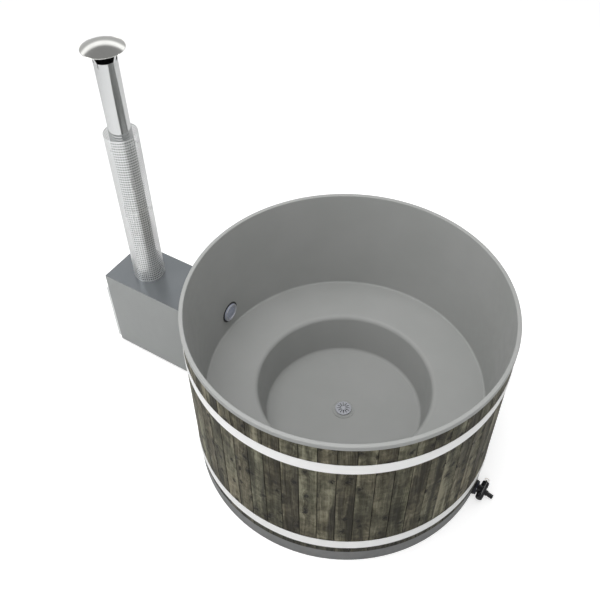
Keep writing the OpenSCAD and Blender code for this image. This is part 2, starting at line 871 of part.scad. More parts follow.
// Folded sheet casing, open at the top, with holes for the front frame and both water pipes
module heater_casing() {
    w = heater_w / 2;
    z1 = heater_top - casing_t;
    color("#95989a") difference() {
        block([-heater_far, -w, foot_h], [-heater_near, w, z1]);
        block([-heater_far + casing_t, -w + casing_t, foot_h + casing_t],
            [-heater_near - casing_t, w - casing_t, z1 + over]);
        block([-heater_far - over, -opening_half, ash_open_z0],
            [-heater_far + 2 * casing_t, opening_half, fire_open_z1]);
        bar_x(hot_r + fit, -heater_near - 2 * casing_t, -heater_near + over, z = port_z);
        bar_x(line_r + fit, -heater_near - 2 * casing_t, -heater_near + over, z = line_z);
    }
}

// Flat lid on the casing's walls with a hole for the flue spigot
module heater_lid() {
    w = heater_w / 2;
    color("#7b7f82") difference() {
        block([-heater_far, -w, heater_top - casing_t], [-heater_near, w, heater_top]);
        translate([-flue_x, 0, heater_top - 2 * casing_t]) cylinder(r = spigot_r + fit, h = 3 * casing_t);
    }
}

// Boiler's outer jacket round the water space, with a stub for each water pipe
module boiler() {
    s = skin_t;
    color("#6f7274") difference() {
        union() {
            difference() {
                block([boiler_x0, -boiler_half, boiler_z0], [boiler_x1, boiler_half, boiler_z1]);
                block([boiler_x0 + s, -boiler_half + s, boiler_z0 + s],
                    [boiler_x1 - s, boiler_half - s, boiler_z1 - s]);
                block([boiler_x0 - over, -fire_half - s, fire_z0 - s],
                    [boiler_x0 + s + over, fire_half + s, fire_z1 + s]);
                translate([-flue_x, 0, boiler_z1 - 2 * s]) cylinder(r = spigot_r + fit, h = 3 * s);
            }
            bar_x(hot_r, boiler_x1 - s, -joint_x - pipe_joint, z = port_z);
            bar_x(line_r, boiler_x1 - s, -joint_x - pipe_joint, z = line_z);
        }
        bar_x(hot_r - pipe_wall, boiler_x1 - s - over, -joint_x, z = port_z);
        bar_x(line_r - pipe_wall, boiler_x1 - s - over, -joint_x, z = line_z);
    }
}

// Firebox inside the water space, open at the front, with a flue hole in its roof
module firebox() {
    s = skin_t;
    color("#5d6062") difference() {
        block([boiler_x0, -fire_half - s, fire_z0 - s], [fire_x1 + s, fire_half + s, fire_z1 + s]);
        block([boiler_x0 - over, -fire_half, fire_z0], [fire_x1, fire_half, fire_z1]);
        translate([-flue_x, 0, fire_z1 - over]) cylinder(r = spigot_r - s, h = s + 2 * over);
    }
}

// Rails along the firebox's sides that carry the grate and the smoke baffle
module firebox_rails() {
    color("#5d6062") for (side = [0, 1], z = [grate_z, baffle_z]) mirror([0, side, 0])
        block([boiler_x0, fire_half - ledge_w, z - ledge_t], [fire_x1, fire_half, z]);
}

// Flue spigot from the firebox's roof up through the jacket and the lid
module flue_spigot() {
    z0 = fire_z1 + skin_t;
    color("#6f7274") translate([-flue_x, 0, z0]) tube(spigot_r, skin_t, heater_top + spigot_h - z0);
}

module heater_feet() {
    color("dimgray") for (x = [-heater_far + foot_inset, -heater_near - foot_inset], side = [-1, 1])
        translate([x, side * (heater_w / 2 - foot_inset), 0]) rotate_extrude()
            polygon([
                [0, 0], [foot_r, 0], [foot_r, foot_pad_t], [foot_stem_r, foot_pad_t],
                [foot_stem_r, foot_h], [0, foot_h]]);
}

// Knuckles of the door's hinges: the frame's pairs or the door's single ones
module knuckles(single) {
    for (share = hinge_z_shares) {
        zc = door_z0 + door_h * share;
        offsets = single ? [0] : [-1, 1];
        for (k = offsets) translate([0, 0, zc + k * (knuckle_h + fit) - knuckle_h / 2]) children();
    }
}

// Front frame with openings for the fire door and the ash drawer
module front_frame() {
    color("silver") difference() {
        union() {
            block([frame_x, -frame_half, frame_z], [-heater_far, frame_half, frame_top]);
            knuckles(false) {
                translate([hinge_x, hinge_y, 0]) cylinder(r = knuckle_r, h = knuckle_h);
                block([hinge_x, hinge_y, 0], [frame_x + frame_t / 2, hinge_y + knuckle_r, knuckle_h]);
            }
        }
        block([frame_x - over, -opening_half, ash_open_z0], [-heater_far + over, opening_half, ash_open_z1]);
        block([frame_x - over, -opening_half, fire_open_z0],
            [-heater_far + over, opening_half, fire_open_z1]);
        translate([hinge_x, hinge_y, door_z0]) cylinder(r = hinge_pin_r + running, h = door_h);
    }
}

// Fire door with a raised rib round its face, its knuckles and a bore for the latch
module fire_door() {
    face = door_x - door_t;
    margin = 14;
    recess = 3;
    color("silver") difference() {
        union() {
            block([face, -front_half, door_z0], [door_x, front_half, door_z1]);
            knuckles(true) {
                translate([hinge_x, hinge_y, 0]) cylinder(r = knuckle_r, h = knuckle_h);
                block([face, front_half - over, 0], [hinge_x + knuckle_r / 2, hinge_y, knuckle_h]);
            }
        }
        block([face - over, -front_half + margin, door_z0 + margin],
            [face + recess, front_half - margin, door_z1 - margin]);
        translate([hinge_x, hinge_y, door_z0]) cylinder(r = hinge_pin_r + running, h = door_h);
        bar_x(latch_r + running, face - over, door_x + over, latch_y, latch_z);
    }
}

// Rope seal round the back of the fire door
module door_seal() {
    x = door_x;
    y = opening_half + seal_back + seal_w;
    z0 = fire_open_z0 - seal_back - seal_w;
    z1 = fire_open_z1 + seal_back + seal_w;
    color("ivory") difference() {
        block([x, -y, z0], [x + seal_t - fit, y, z1]);
        block([x - over, -y + seal_w, z0 + seal_w], [x + seal_t + over, y - seal_w, z1 - seal_w]);
    }
}

module hinge_pins() {
    half = knuckle_h * 1.5 + fit;
    color("gray") for (share = hinge_z_shares)
        translate([hinge_x, hinge_y, door_z0 + door_h * share]) union() {
            translate([0, 0, -half]) cylinder(r = hinge_pin_r, h = 2 * half + pin_head_t);
            translate([0, 0, half + fit]) cylinder(r = pin_head_r, h = pin_head_t);
        }
}

// Latch spindle through the door, with its tongue behind the door and its lever in front
module latch_spindle() {
    face = door_x - door_t;
    inner = -heater_far + casing_t + fit;
    color("gray") translate([0, latch_y, latch_z]) union() {
        bar_x(latch_r, face - collar_t - lever_t, inner + tongue_thick);
        bar_x(collar_r, face - collar_t, face - fit);
        block([inner, -tongue_w / 2, -tongue_reach], [inner + tongue_thick, tongue_w / 2, latch_r]);
        block([face - collar_t - lever_t, -latch_r, -latch_r], [face - collar_t, lever_l, latch_r]);
    }
}

// Turned grip on the latch lever, square to the door
module door_handle() {
    face = door_x - door_t - collar_t - lever_t;
    profile = rounded([
        [0, 0, 0], [grip_r * 0.6, 0, 0], [grip_r * 0.6, grip_l * 0.2, 0],
        [grip_r, grip_l * 0.5, grip_l * 0.4], [grip_r * 0.85, grip_l, grip_r * 0.5], [0, grip_l, 0]]);
    color("saddlebrown") translate([face, latch_y + lever_l - grip_r, latch_z])
        rotate([0, -90, 0]) rotate_extrude() polygon(profile);
}

// Cast grate with slots across its width
module fire_grate() {
    x0 = boiler_x0 + ledge_t;
    x1 = fire_x1 - ledge_t;
    y = fire_half - fit;
    pitch = grate_bar + grate_slot;
    count = floor((x1 - x0 - 2 * grate_rim + grate_bar) / pitch);
    start = (x0 + x1 - count * pitch + grate_bar) / 2;
    color("#3a3a3c") difference() {
        block([x0, -y, grate_z], [x1, y, grate_z + grate_t]);
        for (i = [0:count - 1], side = [0, 1]) mirror([0, side, 0])
            block([start + i * pitch, grate_bar / 2, grate_z - over],
                [start + i * pitch + grate_slot, y - grate_rim, grate_z + grate_t + over]);
    }
}

module smoke_baffle() {
    color("#56585a") block([-flue_x - baffle_half, -fire_half + fit, baffle_z],
        [-flue_x + baffle_half, fire_half - fit, baffle_z + baffle_t]);
}

// Ash drawer: an open tray with a thick front that covers the lower opening
module ash_drawer() {
    t = drawer_t;
    z0 = fire_z0 + fit;
    x0 = door_x;
    color("silver") difference() {
        union() {
            block([x0 - door_t, -front_half, ash_front_z0], [x0, front_half, ash_front_z0 + ash_front_h]);
            block([x0 - t, -drawer_half, z0], [x0 + drawer_l, drawer_half, z0 + drawer_h]);
            for (side = [0, 1]) translate([x0 - door_t, 0, air_z]) mirror([0, 0, side]) {
                lip = air_t + 2 * fit;
                half = front_half / 2;
                block([-lip - guide_t, -half, air_h / 2 + fit], [0, half, air_h / 2 + fit + guide_h]);
                block([-lip - guide_t, -half, air_h / 2 - guide_lap], [-lip, half, air_h / 2 + guide_h]);
            }
        }
        block([x0, -drawer_half + t, z0 + t], [x0 + drawer_l - t, drawer_half - t, z0 + drawer_h + over]);
        for (i = [0:air_slots - 1])
            translate([x0 - door_t - over, (i - (air_slots - 1) / 2) * air_pitch, air_z])
                block([0, -air_slot_w / 2, -air_slot_h / 2],
                    [door_t + 2 * over, air_slot_w / 2, air_slot_h / 2]);
    }
}

// Bar handle on the drawer's front
module drawer_pull() {
    face = door_x - door_t;
    z = ash_front_z0 + ash_front_h * 0.84;
    color("gray") union() {
        bar_y(pull_r, -pull_half - pull_r, pull_half + pull_r, face - pull_out, z);
        for (side = [-1, 1]) bar_x(pull_r * 0.8, face - pull_out, face, side * pull_half, z);
    }
}

// Slotted plate that opens or shuts the air slots, with a small knob
module air_slide() {
    face = door_x - door_t;
    color("gray") difference() {
        union() {
            block([face - fit - air_t, -air_w / 2, air_z - air_h / 2],
                [face - fit, air_w / 2, air_z + air_h / 2]);
            bar_x(air_knob_r, face - fit - air_t - air_knob_l, face - fit, air_w / 2 - 1.5 * air_knob_r,
                air_z);
        }
        for (i = [0:air_slots - 1])
            translate([face, (i - air_slots / 2) * air_pitch, air_z])
                block([-2 * air_t - over, -air_slot_w / 2, -air_slot_h / 2],
                    [over, air_slot_w / 2, air_slot_h / 2]);
    }
}

module flue_collar() {
    r = pipe_r + fit;
    color("silver") translate([-flue_x, 0, heater_top]) difference() {
        union() {
            cylinder(r = collar_flange_r, h = collar_sheet);
            cylinder(r = r + collar_sheet, h = collar_h);
        }
        translate([0, 0, -over]) cylinder(r = r, h = collar_h + 2 * over);
    }
}

module smoke_pipe() {
    z0 = heater_top + fit;
    color("whitesmoke") translate([-flue_x, 0, z0]) tube(pipe_r, pipe_t, pipe_top - z0);
}

// Perforated tube with a plain band at each end
module heat_shield() {
    pitch = (shield_l - 2 * shield_band) / hole_rows;
    color("lightgray") translate([-flue_x, 0, heater_top + fit]) difference() {
        tube(shield_r, shield_t, shield_l);
        for (row = [0:hole_rows - 1], col = [0:hole_n - 1])
            rotate([0, 0, col * 360 / hole_n])
                translate([shield_r, 0, shield_band + (row + 0.5) * pitch])
                    block([-shield_t - over, -hole_w / 2, -hole_w / 2], [over, hole_w / 2, hole_w / 2]);
    }
}

// Bands round the smoke pipe with arms that hold the heat shield
module shield_spacers() {
    r0 = pipe_r + fit;
    r1 = shield_r - shield_t - fit;
    color("silver") for (share = spacer_shares)
        translate([-flue_x, 0, heater_top + shield_l * share - spacer_h / 2]) union() {
            tube(r0 + spacer_t, spacer_t, spacer_h);
            for (i = [0:spacer_n - 1]) rotate([0, 0, (i + 0.25) * 360 / spacer_n]) {
                block([r0 + spacer_t / 2, -spacer_t / 2, spacer_lip],
                    [r1 - 1.5 * spacer_t, spacer_t / 2, spacer_h - spacer_lip]);
                block([r1 - 2 * spacer_t, -spacer_w / 2, 0], [r1 - spacer_t, spacer_w / 2, spacer_h]);
            }
        }
}

// Spun dome with a rolled bead round its rim
module rain_cap() {
    color("lightgray") union() {
        translate([-flue_x, 0, cap_rim_z]) dome(cap_r, cap_rise, cap_t);
        translate([-flue_x, 0, cap_rim_z]) rotate_extrude()
            translate([cap_r - cap_bead_r, 0]) circle(r = cap_bead_r, $fn = 32);
    }
}

// Bent straps from the smoke pipe's top to the underside of the rain cap
module cap_straps() {
    r0 = pipe_r + fit;
    under_r = cap_sphere_r - cap_t - fit;
    z_top = cap_centre_z + sqrt(under_r * under_r - (strap_top_r + strap_t) * (strap_top_r + strap_t));
    color("white") translate([-flue_x, 0, 0]) for (i = [0:strap_n - 1])
        rotate([0, 0, i * 360 / strap_n]) translate([0, strap_w / 2, 0]) rotate([90, 0, 0])
            linear_extrude(strap_w) polygon([
                [r0, pipe_top - strap_lap], [r0 + strap_t, pipe_top - strap_lap],
                [r0 + strap_t, pipe_top],
                [strap_top_r + strap_t, z_top - strap_lap / 2], [strap_top_r + strap_t, z_top],
                [strap_top_r, z_top], [strap_top_r, z_top - strap_lap / 2 + strap_t],
                [r0, pipe_top + strap_t]]);
}

tub_liner();
base_plate();
base_ring();
bench_ribs();
wall_insulation();
wall_boards();
port_boards();
upper_hoop();
lower_hoop();
hoop_bolts();
hoop_nuts();
drain_grille();
drain_body();
drain_gasket();
drain_locknut();
drain_tee();
drain_pipe();
feed_pipe();
port_grille();
port_body();
port_gasket();
port_locknut();
upper_sleeve();
lower_sleeve();
hose_clamps();
tap_gasket();
tap_body();
tap_plug();
tap_knob();
tap_end_cap();
tap_wire_ring();
tap_hose_tail();
heater_casing();
heater_lid();
boiler();
firebox();
firebox_rails();
flue_spigot();
heater_feet();
front_frame();
fire_door();
door_seal();
hinge_pins();
latch_spindle();
door_handle();
fire_grate();
smoke_baffle();
ash_drawer();
drawer_pull();
air_slide();
flue_collar();
smoke_pipe();
heat_shield();
shield_spacers();
rain_cap();
cap_straps();
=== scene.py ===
"""Looks of a round outdoor hot tub: the finish of every surface and the fine forms around the fixed frame.

Everything is in metres, in the frame's own axes: +Z up, the heater on -X, the tap on +X.
"""
import json
import math
import random

import bmesh
import bpy
from mathutils import Matrix, Vector


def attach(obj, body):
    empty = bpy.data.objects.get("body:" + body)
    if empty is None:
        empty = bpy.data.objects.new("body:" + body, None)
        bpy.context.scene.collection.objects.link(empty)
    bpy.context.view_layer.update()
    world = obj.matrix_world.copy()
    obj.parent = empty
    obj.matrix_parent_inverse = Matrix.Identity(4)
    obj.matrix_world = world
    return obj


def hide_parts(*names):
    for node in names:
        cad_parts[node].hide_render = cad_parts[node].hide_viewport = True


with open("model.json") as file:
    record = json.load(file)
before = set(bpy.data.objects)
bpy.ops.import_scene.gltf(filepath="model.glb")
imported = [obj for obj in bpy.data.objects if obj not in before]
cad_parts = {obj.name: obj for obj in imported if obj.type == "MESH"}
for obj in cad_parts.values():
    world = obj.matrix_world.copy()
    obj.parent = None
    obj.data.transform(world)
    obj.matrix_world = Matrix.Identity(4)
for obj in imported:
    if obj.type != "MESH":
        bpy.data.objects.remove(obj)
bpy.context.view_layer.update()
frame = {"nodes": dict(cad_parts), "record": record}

# Camera of the reference view
CAMERA_PLACE = (1.2544, -2.4750, 4.1226)
CAMERA_TURN = (43.67, 0.0, 31.2)
CAMERA_LENS = 45.98
CAMERA_SHIFT = (-0.0161, -0.0122)
CAMERA_SENSOR = 36.0
CAMERA_REACH = 200.0

# Tub
RIM_R = 0.8997
RIM_Z = 1.159
RIM_DROP = 0.0274
SKIRT_T = 0.0037
RIM_T = 0.0063
SHELL_T = 0.005
BENCH_R = 0.82397
BENCH_Z = 0.465
WELL_TOP_R = 0.52097
WELL_EDGE_Z = 0.451
WELL_BOT_R = 0.47697
FLOOR_Z = 0.177
WALL_TOP_R = 0.87697
DRAIN_BORE_R = 0.031
RIM_LIP_ROUND = 0.001
RIM_ROUND = 0.006
BENCH_ROUND = 0.014
WELL_EDGE_ROUND = 0.032
WELL_FOOT_ROUND = 0.025
LINER_SIDES = 288

# Hot inlet in the wall. Outlines are (radius, height) from its face. Rings are (radius, half thickness):
# lighter sleeves over the cover's rim and ridge, a painted highlight
PORT_Z = 0.605
PAD_FACE_X = -0.82266
PAD_DEPTH = 0.018
PAD_BORE_R = 0.030
PAD_TOP_R = 0.072
PAD_FOOT_R = 0.100
PAD_ROUND = 0.010
PORT_R = 0.058
PORT_FACE_X = -0.81666
PORT_INSET = 0.001
PORT_ROLL = 0.0030
PORT_GROOVE = [(0.0510, 0.0012), (0.0485, 0.0012)]
PORT_RIDGE = (0.0462, 0.0030)
PORT_RIDGE_ROUND = 0.0020
PORT_STEP = [(0.0415, 0.0008), (0.0395, 0.0008), (0.0380, 0.0030)]
PORT_CROWN = [(0.030, 0.0042), (0.020, 0.0050), (0.010, 0.0056), (0.0, 0.0058)]
PORT_SLOTS = 5
PORT_SLOT_PITCH = 0.013
PORT_SLOT_W = 0.005
PORT_SLOT_REACH = 0.0345
PORT_HIGHLIGHT_Z = 0.0028
PORT_HIGHLIGHT_RINGS = [(0.0538, 0.0040), (0.0455, 0.0028)]
PORT_HIGHLIGHT_SIDES = 14
SLOT_BELOW = 0.01
PORT_SLOT_ABOVE = 0.02

# Floor drain. Outlines are (radius, height) from the flange's top
DRAIN_FLANGE_T = 0.003
DRAIN_UNDER = [(0.0, 0.0050), (0.046, 0.0040)]
DRAIN_ROLL_AT = (0.0470, 0.0065)
DRAIN_ROLL = 0.0030
DRAIN_CROWN = [(0.0440, 0.0088), (0.034, 0.0098), (0.022, 0.0106), (0.010, 0.0110), (0.0, 0.0110)]
DRAIN_SLOTS = 12
DRAIN_SLOT_R0 = 0.015
DRAIN_SLOT_R1 = 0.040
DRAIN_SLOT_HALF = 0.0025
DRAIN_SLOT_ABOVE = 0.03
DRAIN_FEET = 4
DRAIN_FOOT_AT = 0.043
DRAIN_FOOT_MID = 0.0022
DRAIN_FOOT_H = 0.0048
DRAIN_FOOT_R = 0.0032
DRAIN_FOOT_TIP_R = 0.0026
DRAIN_RINGS = (0.0562, 0.0640)
DRAIN_RING_HALF = 0.0016
DRAIN_RING_H = 0.0014
DRAIN_RING_ROUND = 0.0009
DRAIN_RING_SINK = 0.0002
FITTING_SIDES = 96

# Tap
TAP_FACE_X = 0.8982
TAP_FLANGE_T = 0.008
LINE_Z = 0.050
BARREL_X = 0.9452
BARREL_R = 0.020
BARREL_HALF = 0.038
CLAMP_R0 = 0.0262
CLAMP_R1 = 0.0425
CLAMP_T = 0.0095
CLAMP_SINK = 0.0003
CLAMP_OUTER_ROUND = 0.002
CLAMP_INNER_ROUND = 0.001
SCREW_N = 4
SCREW_AT = 0.0345
SCREW_R = 0.0042
SCREW_H = 0.0024
COLLAR_W = 0.007
COLLAR_R0 = 0.0195
COLLAR_OVER = 0.002
COLLAR_ROUND = 0.0008

# Boards
BOARD_N = 60
BOARD_R = 0.896
BOARD_T = 0.0125
BOARD_Z0 = 0.1043
BOARD_Z1 = 1.1524
BOARD_GAP = 0.0010
BOARD_EDGE = 0.0040
BOARD_TURN = 2.0
BOARD_LIFT = 0.0003
BOARD_CUP = 0.0005
BOARD_ROWS = 14
GRAIN_LENGTH = 40.0
LOWER_HOOP_Z = 0.157

# Points across a board, as shares of half its width, with the fall and the grime near its edges
BOARD_ACROSS = [-1.0, -0.975, -0.925, -0.6, -0.2, 0.2, 0.6, 0.925, 0.975, 1.0]
BOARD_FALL = {1.0: BOARD_EDGE, 0.975: 0.0013, 0.925: 0.0}
BOARD_GRIME = {1.0: 1.0, 0.975: 0.55, 0.925: 0.10}

# Chimney
FLUE_X = -1.451
PIPE_R = 0.0633
PIPE_T = 0.0012
# The pipe is darker from this far below the shield's top downwards: painted shade
PIPE_SHADE_DROP = 0.030
PIPE_ROUND_OUT = 0.0006
PIPE_ROUND_IN = 0.0005
PIPE_SIDES = 128
PIPE_Z0 = 0.6403
PIPE_Z1 = 2.145
SHIELD_R = 0.0962
SHIELD_T = 0.001
SHIELD_L = 1.066
SHIELD_BAND = 0.006
HOLES_AROUND = 46
HOLE_ROWS = 61
HOLE_R = 0.0053
HOLE_CORNERS = 12
CAP_R = 0.115
CAP_Z = 2.205
CAP_RISE = 0.036
CAP_T = 0.0015
CAP_BALL_R = (CAP_R ** 2 + CAP_RISE ** 2) / (2 * CAP_RISE)
CAP_CENTRE_Z = CAP_Z + CAP_RISE - CAP_BALL_R
CAP_EDGE = 0.001
CAP_BEAD_R = 0.0025
CAP_INNER_TURN = 1.2
CAP_STEPS = 40
CAP_SIDES = 144
STRAP_N = 4
STRAP_W = 0.015
STRAP_T = 0.0015
STRAP_LAP = 0.028
STRAP_TOP_R = 0.086
STRAP_CLEAR = 0.0003
STRAP_BEND = 0.004
STRAP_BEND_STEPS = 4
RIVET_SHARES = (0.25, 0.72)
RIVET_R = 0.0028
RIVET_H = 0.0012

# Points across a strap, as shares of its width and its thickness
STRAP_SECTION = [(-0.5, 0), (-0.47, -0.5), (0.47, -0.5), (0.5, 0), (0.47, 0.5), (-0.47, 0.5)]

# Domed heads of screws and rivets
HEAD_SINK = 0.0004
HEAD_SIDES = 16
HEAD_ROWS = 6
HEAD_TURN = 15.0

# Rim of the heater's front. Its loops are (half width, lower height, upper height)
FRONT_X0 = -1.6698
FRONT_X1 = -1.6950
FRONT_INNER = (0.1608, 0.0542, 0.5038)
FRONT_OUTER = (0.1765, 0.0440, 0.5140)
FRONT_BEVEL = 0.0012
FRONT_ROUND = 0.004

# Finishes. Scales are per metre. A range holds the noise values between which a finish changes
SOFT_RANGE = (0.3, 0.7)
CLOUD_SCALE = 3.1
GLOSS_SCALE = 17.0
METAL_CLOUD_SCALE = 5.0
METAL_RANGE = (0.35, 0.65)

# Stain of the boards, and painted shade at their foot. A share is how much a layer counts, and a tone is
# what it tints towards
LANE_STEP = 91.7
WARP_SCALE = 60.0
WARP = 0.5
KNOTS_ACROSS = 13.0
KNOTS_ALONG = 10.0
KNOT_CHOICE = (0.56, 0.60)
KNOT_CORE = (0.20, 0.09)
KNOT_HALO = (0.50, 0.08)
KNOT_BEND = 0.020
SWAY = 0.05
HEART_SHARE = 0.44
MOTTLE_SHARE = 0.30
LINES_SHARE = 0.15
SAW_SHARE = 0.11
BOARD_SPREAD = 0.11
STAIN_SPREAD = 0.14
STAIN_SCALE = (2.2, 2.2, 3.4)
WOOD_STOPS = [
    (0.385, (0.022, 0.020, 0.013)), (0.452, (0.050, 0.046, 0.032)),
    (0.520, (0.110, 0.104, 0.075)), (0.600, (0.245, 0.231, 0.178))]
WARM_HUE = (1.0, 0.95, 0.85)
GREEN_HUE = (0.97, 1.0, 0.90)
HUE_RANGE = (0.38, 0.64)
HUE_SHARE = 0.9
FIBRE_TONE = (0.014, 0.013, 0.009)
FIBRE_SHARE = 0.22
FIBRE_RANGE = (0.60, 0.36)
HALO_TONE = (0.024, 0.021, 0.014)
HALO_SHARE = 0.45
CORE_TONE = (0.008, 0.007, 0.005)
CORE_SHARE = 0.92
# Painted shade on the boards below the lower hoop
FOOT_SHADE_TONE = (0.016, 0.017, 0.014)
FOOT_SHADE_SHARE = 0.6
FOOT_SHADE_BLUR = 0.012
GRIME_TONE = (0.004, 0.004, 0.003)
GRIME_LEAST = 0.65
GRIME_MORE = 0.33
EDGE_RANGE = (0.15, 0.9)
WOOD_GLOSS = (0.72, 0.5)
LINES_RELIEF = 0.6
FIBRE_RELIEF = 0.4
CORE_RELIEF = 0.8
WOOD_RELIEF = 0.0006

# Cleaning and easing of meshes. Angles between faces are in degrees
WELD_NEAR = 1e-6
CAD_WELD_NEAR = 2e-5
FLAT_TURN = 0.2
EASE_ABOVE = 38.0
EASE_STEPS = 2
NORMAL_WEIGHT = 60
TURNED_SHARP = 50.0
SLOTTED_SHARP = 40.0
FOLDED_SHARP = 30.0
BOARD_SHARP = 25.0

# Studio
FLOOR_REACH = 40.0
FLOOR_BELOW = 0.001
FLOOR_TONE = 0.76
FLOOR_GLOW = 0.50
FLOOR_MIRRORED_GLOW = 0.10
WORLD_LIGHT = 0.55
HORIZON_GLOW = 0.46
CEILING_GLOW = 0.24
ROOM_RANGE = (0.2, 0.9)

# Lit panels, in heights and widths over their distance, from where the light begins to where it is full
PANEL_GLOW = 0.78
PANEL_TURN = 134.0
PANEL_FOOT = (0.30, 0.66)
PANEL_HEAD = (1.38, 0.88)
PANEL_ENDS = (3.4, 1.5)
LEAST_DEPTH = 0.05

random.seed(11)


class Nodes:
    """A node tree under construction."""

    def __init__(self, tree):
        self.tree = tree
        self.tree.nodes.clear()
        self.places = self.add("ShaderNodeTexCoord")

    def add(self, kind, **settings):
        node = self.tree.nodes.new(kind)
        for key, value in settings.items():
            setattr(node, key, value)
        return node

    def join(self, source, target):
        if isinstance(source, (int, float, tuple, list)):
            target.default_value = source
        else:
            self.tree.links.new(source, target)

    def place(self):
        return self.places.outputs["Object"]

    def attribute(self, name, output="Vector"):
        return self.add("ShaderNodeAttribute", attribute_name=name).outputs[output]

    def scaled(self, vector, scale):
        node = self.add("ShaderNodeVectorMath", operation="MULTIPLY")
        self.join(vector, node.inputs[0])
        node.inputs[1].default_value = scale
        return node.outputs[0]

    def split(self, vector):
        node = self.add("ShaderNodeSeparateXYZ")
        self.join(vector, node.inputs[0])
        return node.outputs

    def joined(self, x, y, z):
        node = self.add("ShaderNodeCombineXYZ")
        for socket, value in zip(node.inputs, (x, y, z)):
            self.join(value, socket)
        return node.outputs[0]

    def noise(self, vector, scale, detail=3.0, rough=0.5, distortion=0.0):
        node = self.add("ShaderNodeTexNoise")
        self.join(vector, node.inputs["Vector"])
        node.inputs["Scale"].default_value = scale
        node.inputs["Detail"].default_value = detail
        node.inputs["Roughness"].default_value = rough
        node.inputs["Distortion"].default_value = distortion
        return node.outputs["Fac"]

    def cells(self, vector, scale, output="Distance"):
        node = self.add("ShaderNodeTexVoronoi", voronoi_dimensions="2D")
        self.join(vector, node.inputs["Vector"])
        node.inputs["Scale"].default_value = scale
        node.inputs["Randomness"].default_value = 1.0
        return node.outputs[output]

    def math(self, operation, a, b=None):
        node = self.add("ShaderNodeMath", operation=operation)
        for socket, value in zip(node.inputs, (a, b)):
            if value is not None:
                self.join(value, socket)
        return node.outputs[0]

    def span(self, value, low, high, to_low=0.0, to_high=1.0):
        """Maps low..high to to_low..to_high, smoothly and within those ends."""
        node = self.add("ShaderNodeMapRange", interpolation_type="SMOOTHSTEP")
        self.join(value, node.inputs["Value"])
        ends = {"From Min": low, "From Max": high, "To Min": to_low, "To Max": to_high}
        for socket, number in ends.items():
            node.inputs[socket].default_value = number
        return node.outputs[0]

    def ramp(self, value, stops):
        node = self.add("ShaderNodeValToRGB")
        self.join(value, node.inputs[0])
        elements = node.color_ramp.elements
        while len(elements) < len(stops):
            elements.new(0.5)
        for element, (position, colour) in zip(elements, stops):
            element.position = position
            element.color = (*colour, 1.0)
        return node.outputs["Color"]

    def mix(self, factor, a, b, blend="MIX"):
        node = self.add("ShaderNodeMix", data_type="RGBA", blend_type=blend)
        self.join(factor, node.inputs[0])
        for socket, value in ((node.inputs[6], a), (node.inputs[7], b)):
            self.join((*value, 1.0) if isinstance(value, tuple) and len(value) == 3 else value, socket)
        return node.outputs[2]


class Finish(Nodes):
    """A material built round one shader."""

    def __init__(self, name, **sockets):
        self.material = bpy.data.materials.new(name)
        self.material.use_nodes = True
        super().__init__(self.material.node_tree)
        self.shader = self.add("ShaderNodeBsdfPrincipled")
        self.out = self.add("ShaderNodeOutputMaterial")
        self.join(self.shader.outputs["BSDF"], self.out.inputs["Surface"])
        for socket, value in sockets.items():
            self.shader.inputs[socket.replace("_", " ")].default_value = value

    def colour(self, source):
        self.join(source, self.shader.inputs["Base Color"])

    def rough(self, source):
        self.join(source, self.shader.inputs["Roughness"])

    def bump(self, height, distance):
        node = self.add("ShaderNodeBump")
        node.inputs["Strength"].default_value = 1.0
        node.inputs["Distance"].default_value = distance
        self.join(height, node.inputs["Height"])
        self.join(node.outputs[0], self.shader.inputs["Normal"])


def plastic(name, colour, shade, roughness, grain=0.00003, scale=260.0, spread=0.10, **sockets):
    """Moulded plastic: soft mottling, a fine surface grain and slightly uneven gloss."""
    f = Finish(name, **sockets)
    cloud = f.noise(f.place(), CLOUD_SCALE, detail=4.0, rough=0.55)
    f.colour(f.mix(f.span(cloud, *SOFT_RANGE), colour, shade))
    gloss = f.noise(f.place(), GLOSS_SCALE, detail=3.0)
    f.rough(f.span(gloss, *SOFT_RANGE, roughness - spread / 2, roughness + spread / 2))
    f.bump(f.noise(f.place(), scale, detail=2.0), grain)
    return f.material


def metal(name, colour, shade, roughness, stretch=(6.0, 6.0, 260.0), grain=0.00002, spread=0.12,
          metallic=1.0, **sockets):
    """Rolled or brushed sheet: fine lines along one direction over slow changes of tone."""
    f = Finish(name, Metallic=metallic, **sockets)
    lines = f.noise(f.scaled(f.place(), stretch), 1.0, detail=4.0, rough=0.6)
    cloud = f.noise(f.place(), METAL_CLOUD_SCALE, detail=3.0)
    tone = f.math("ADD", f.math("MULTIPLY", lines, 0.5), f.math("MULTIPLY", cloud, 0.5))
    f.colour(f.mix(f.span(tone, *METAL_RANGE), colour, shade))
    f.rough(f.span(lines, *SOFT_RANGE, roughness - spread / 2, roughness + spread / 2))
    f.bump(lines, grain)
    return f.material


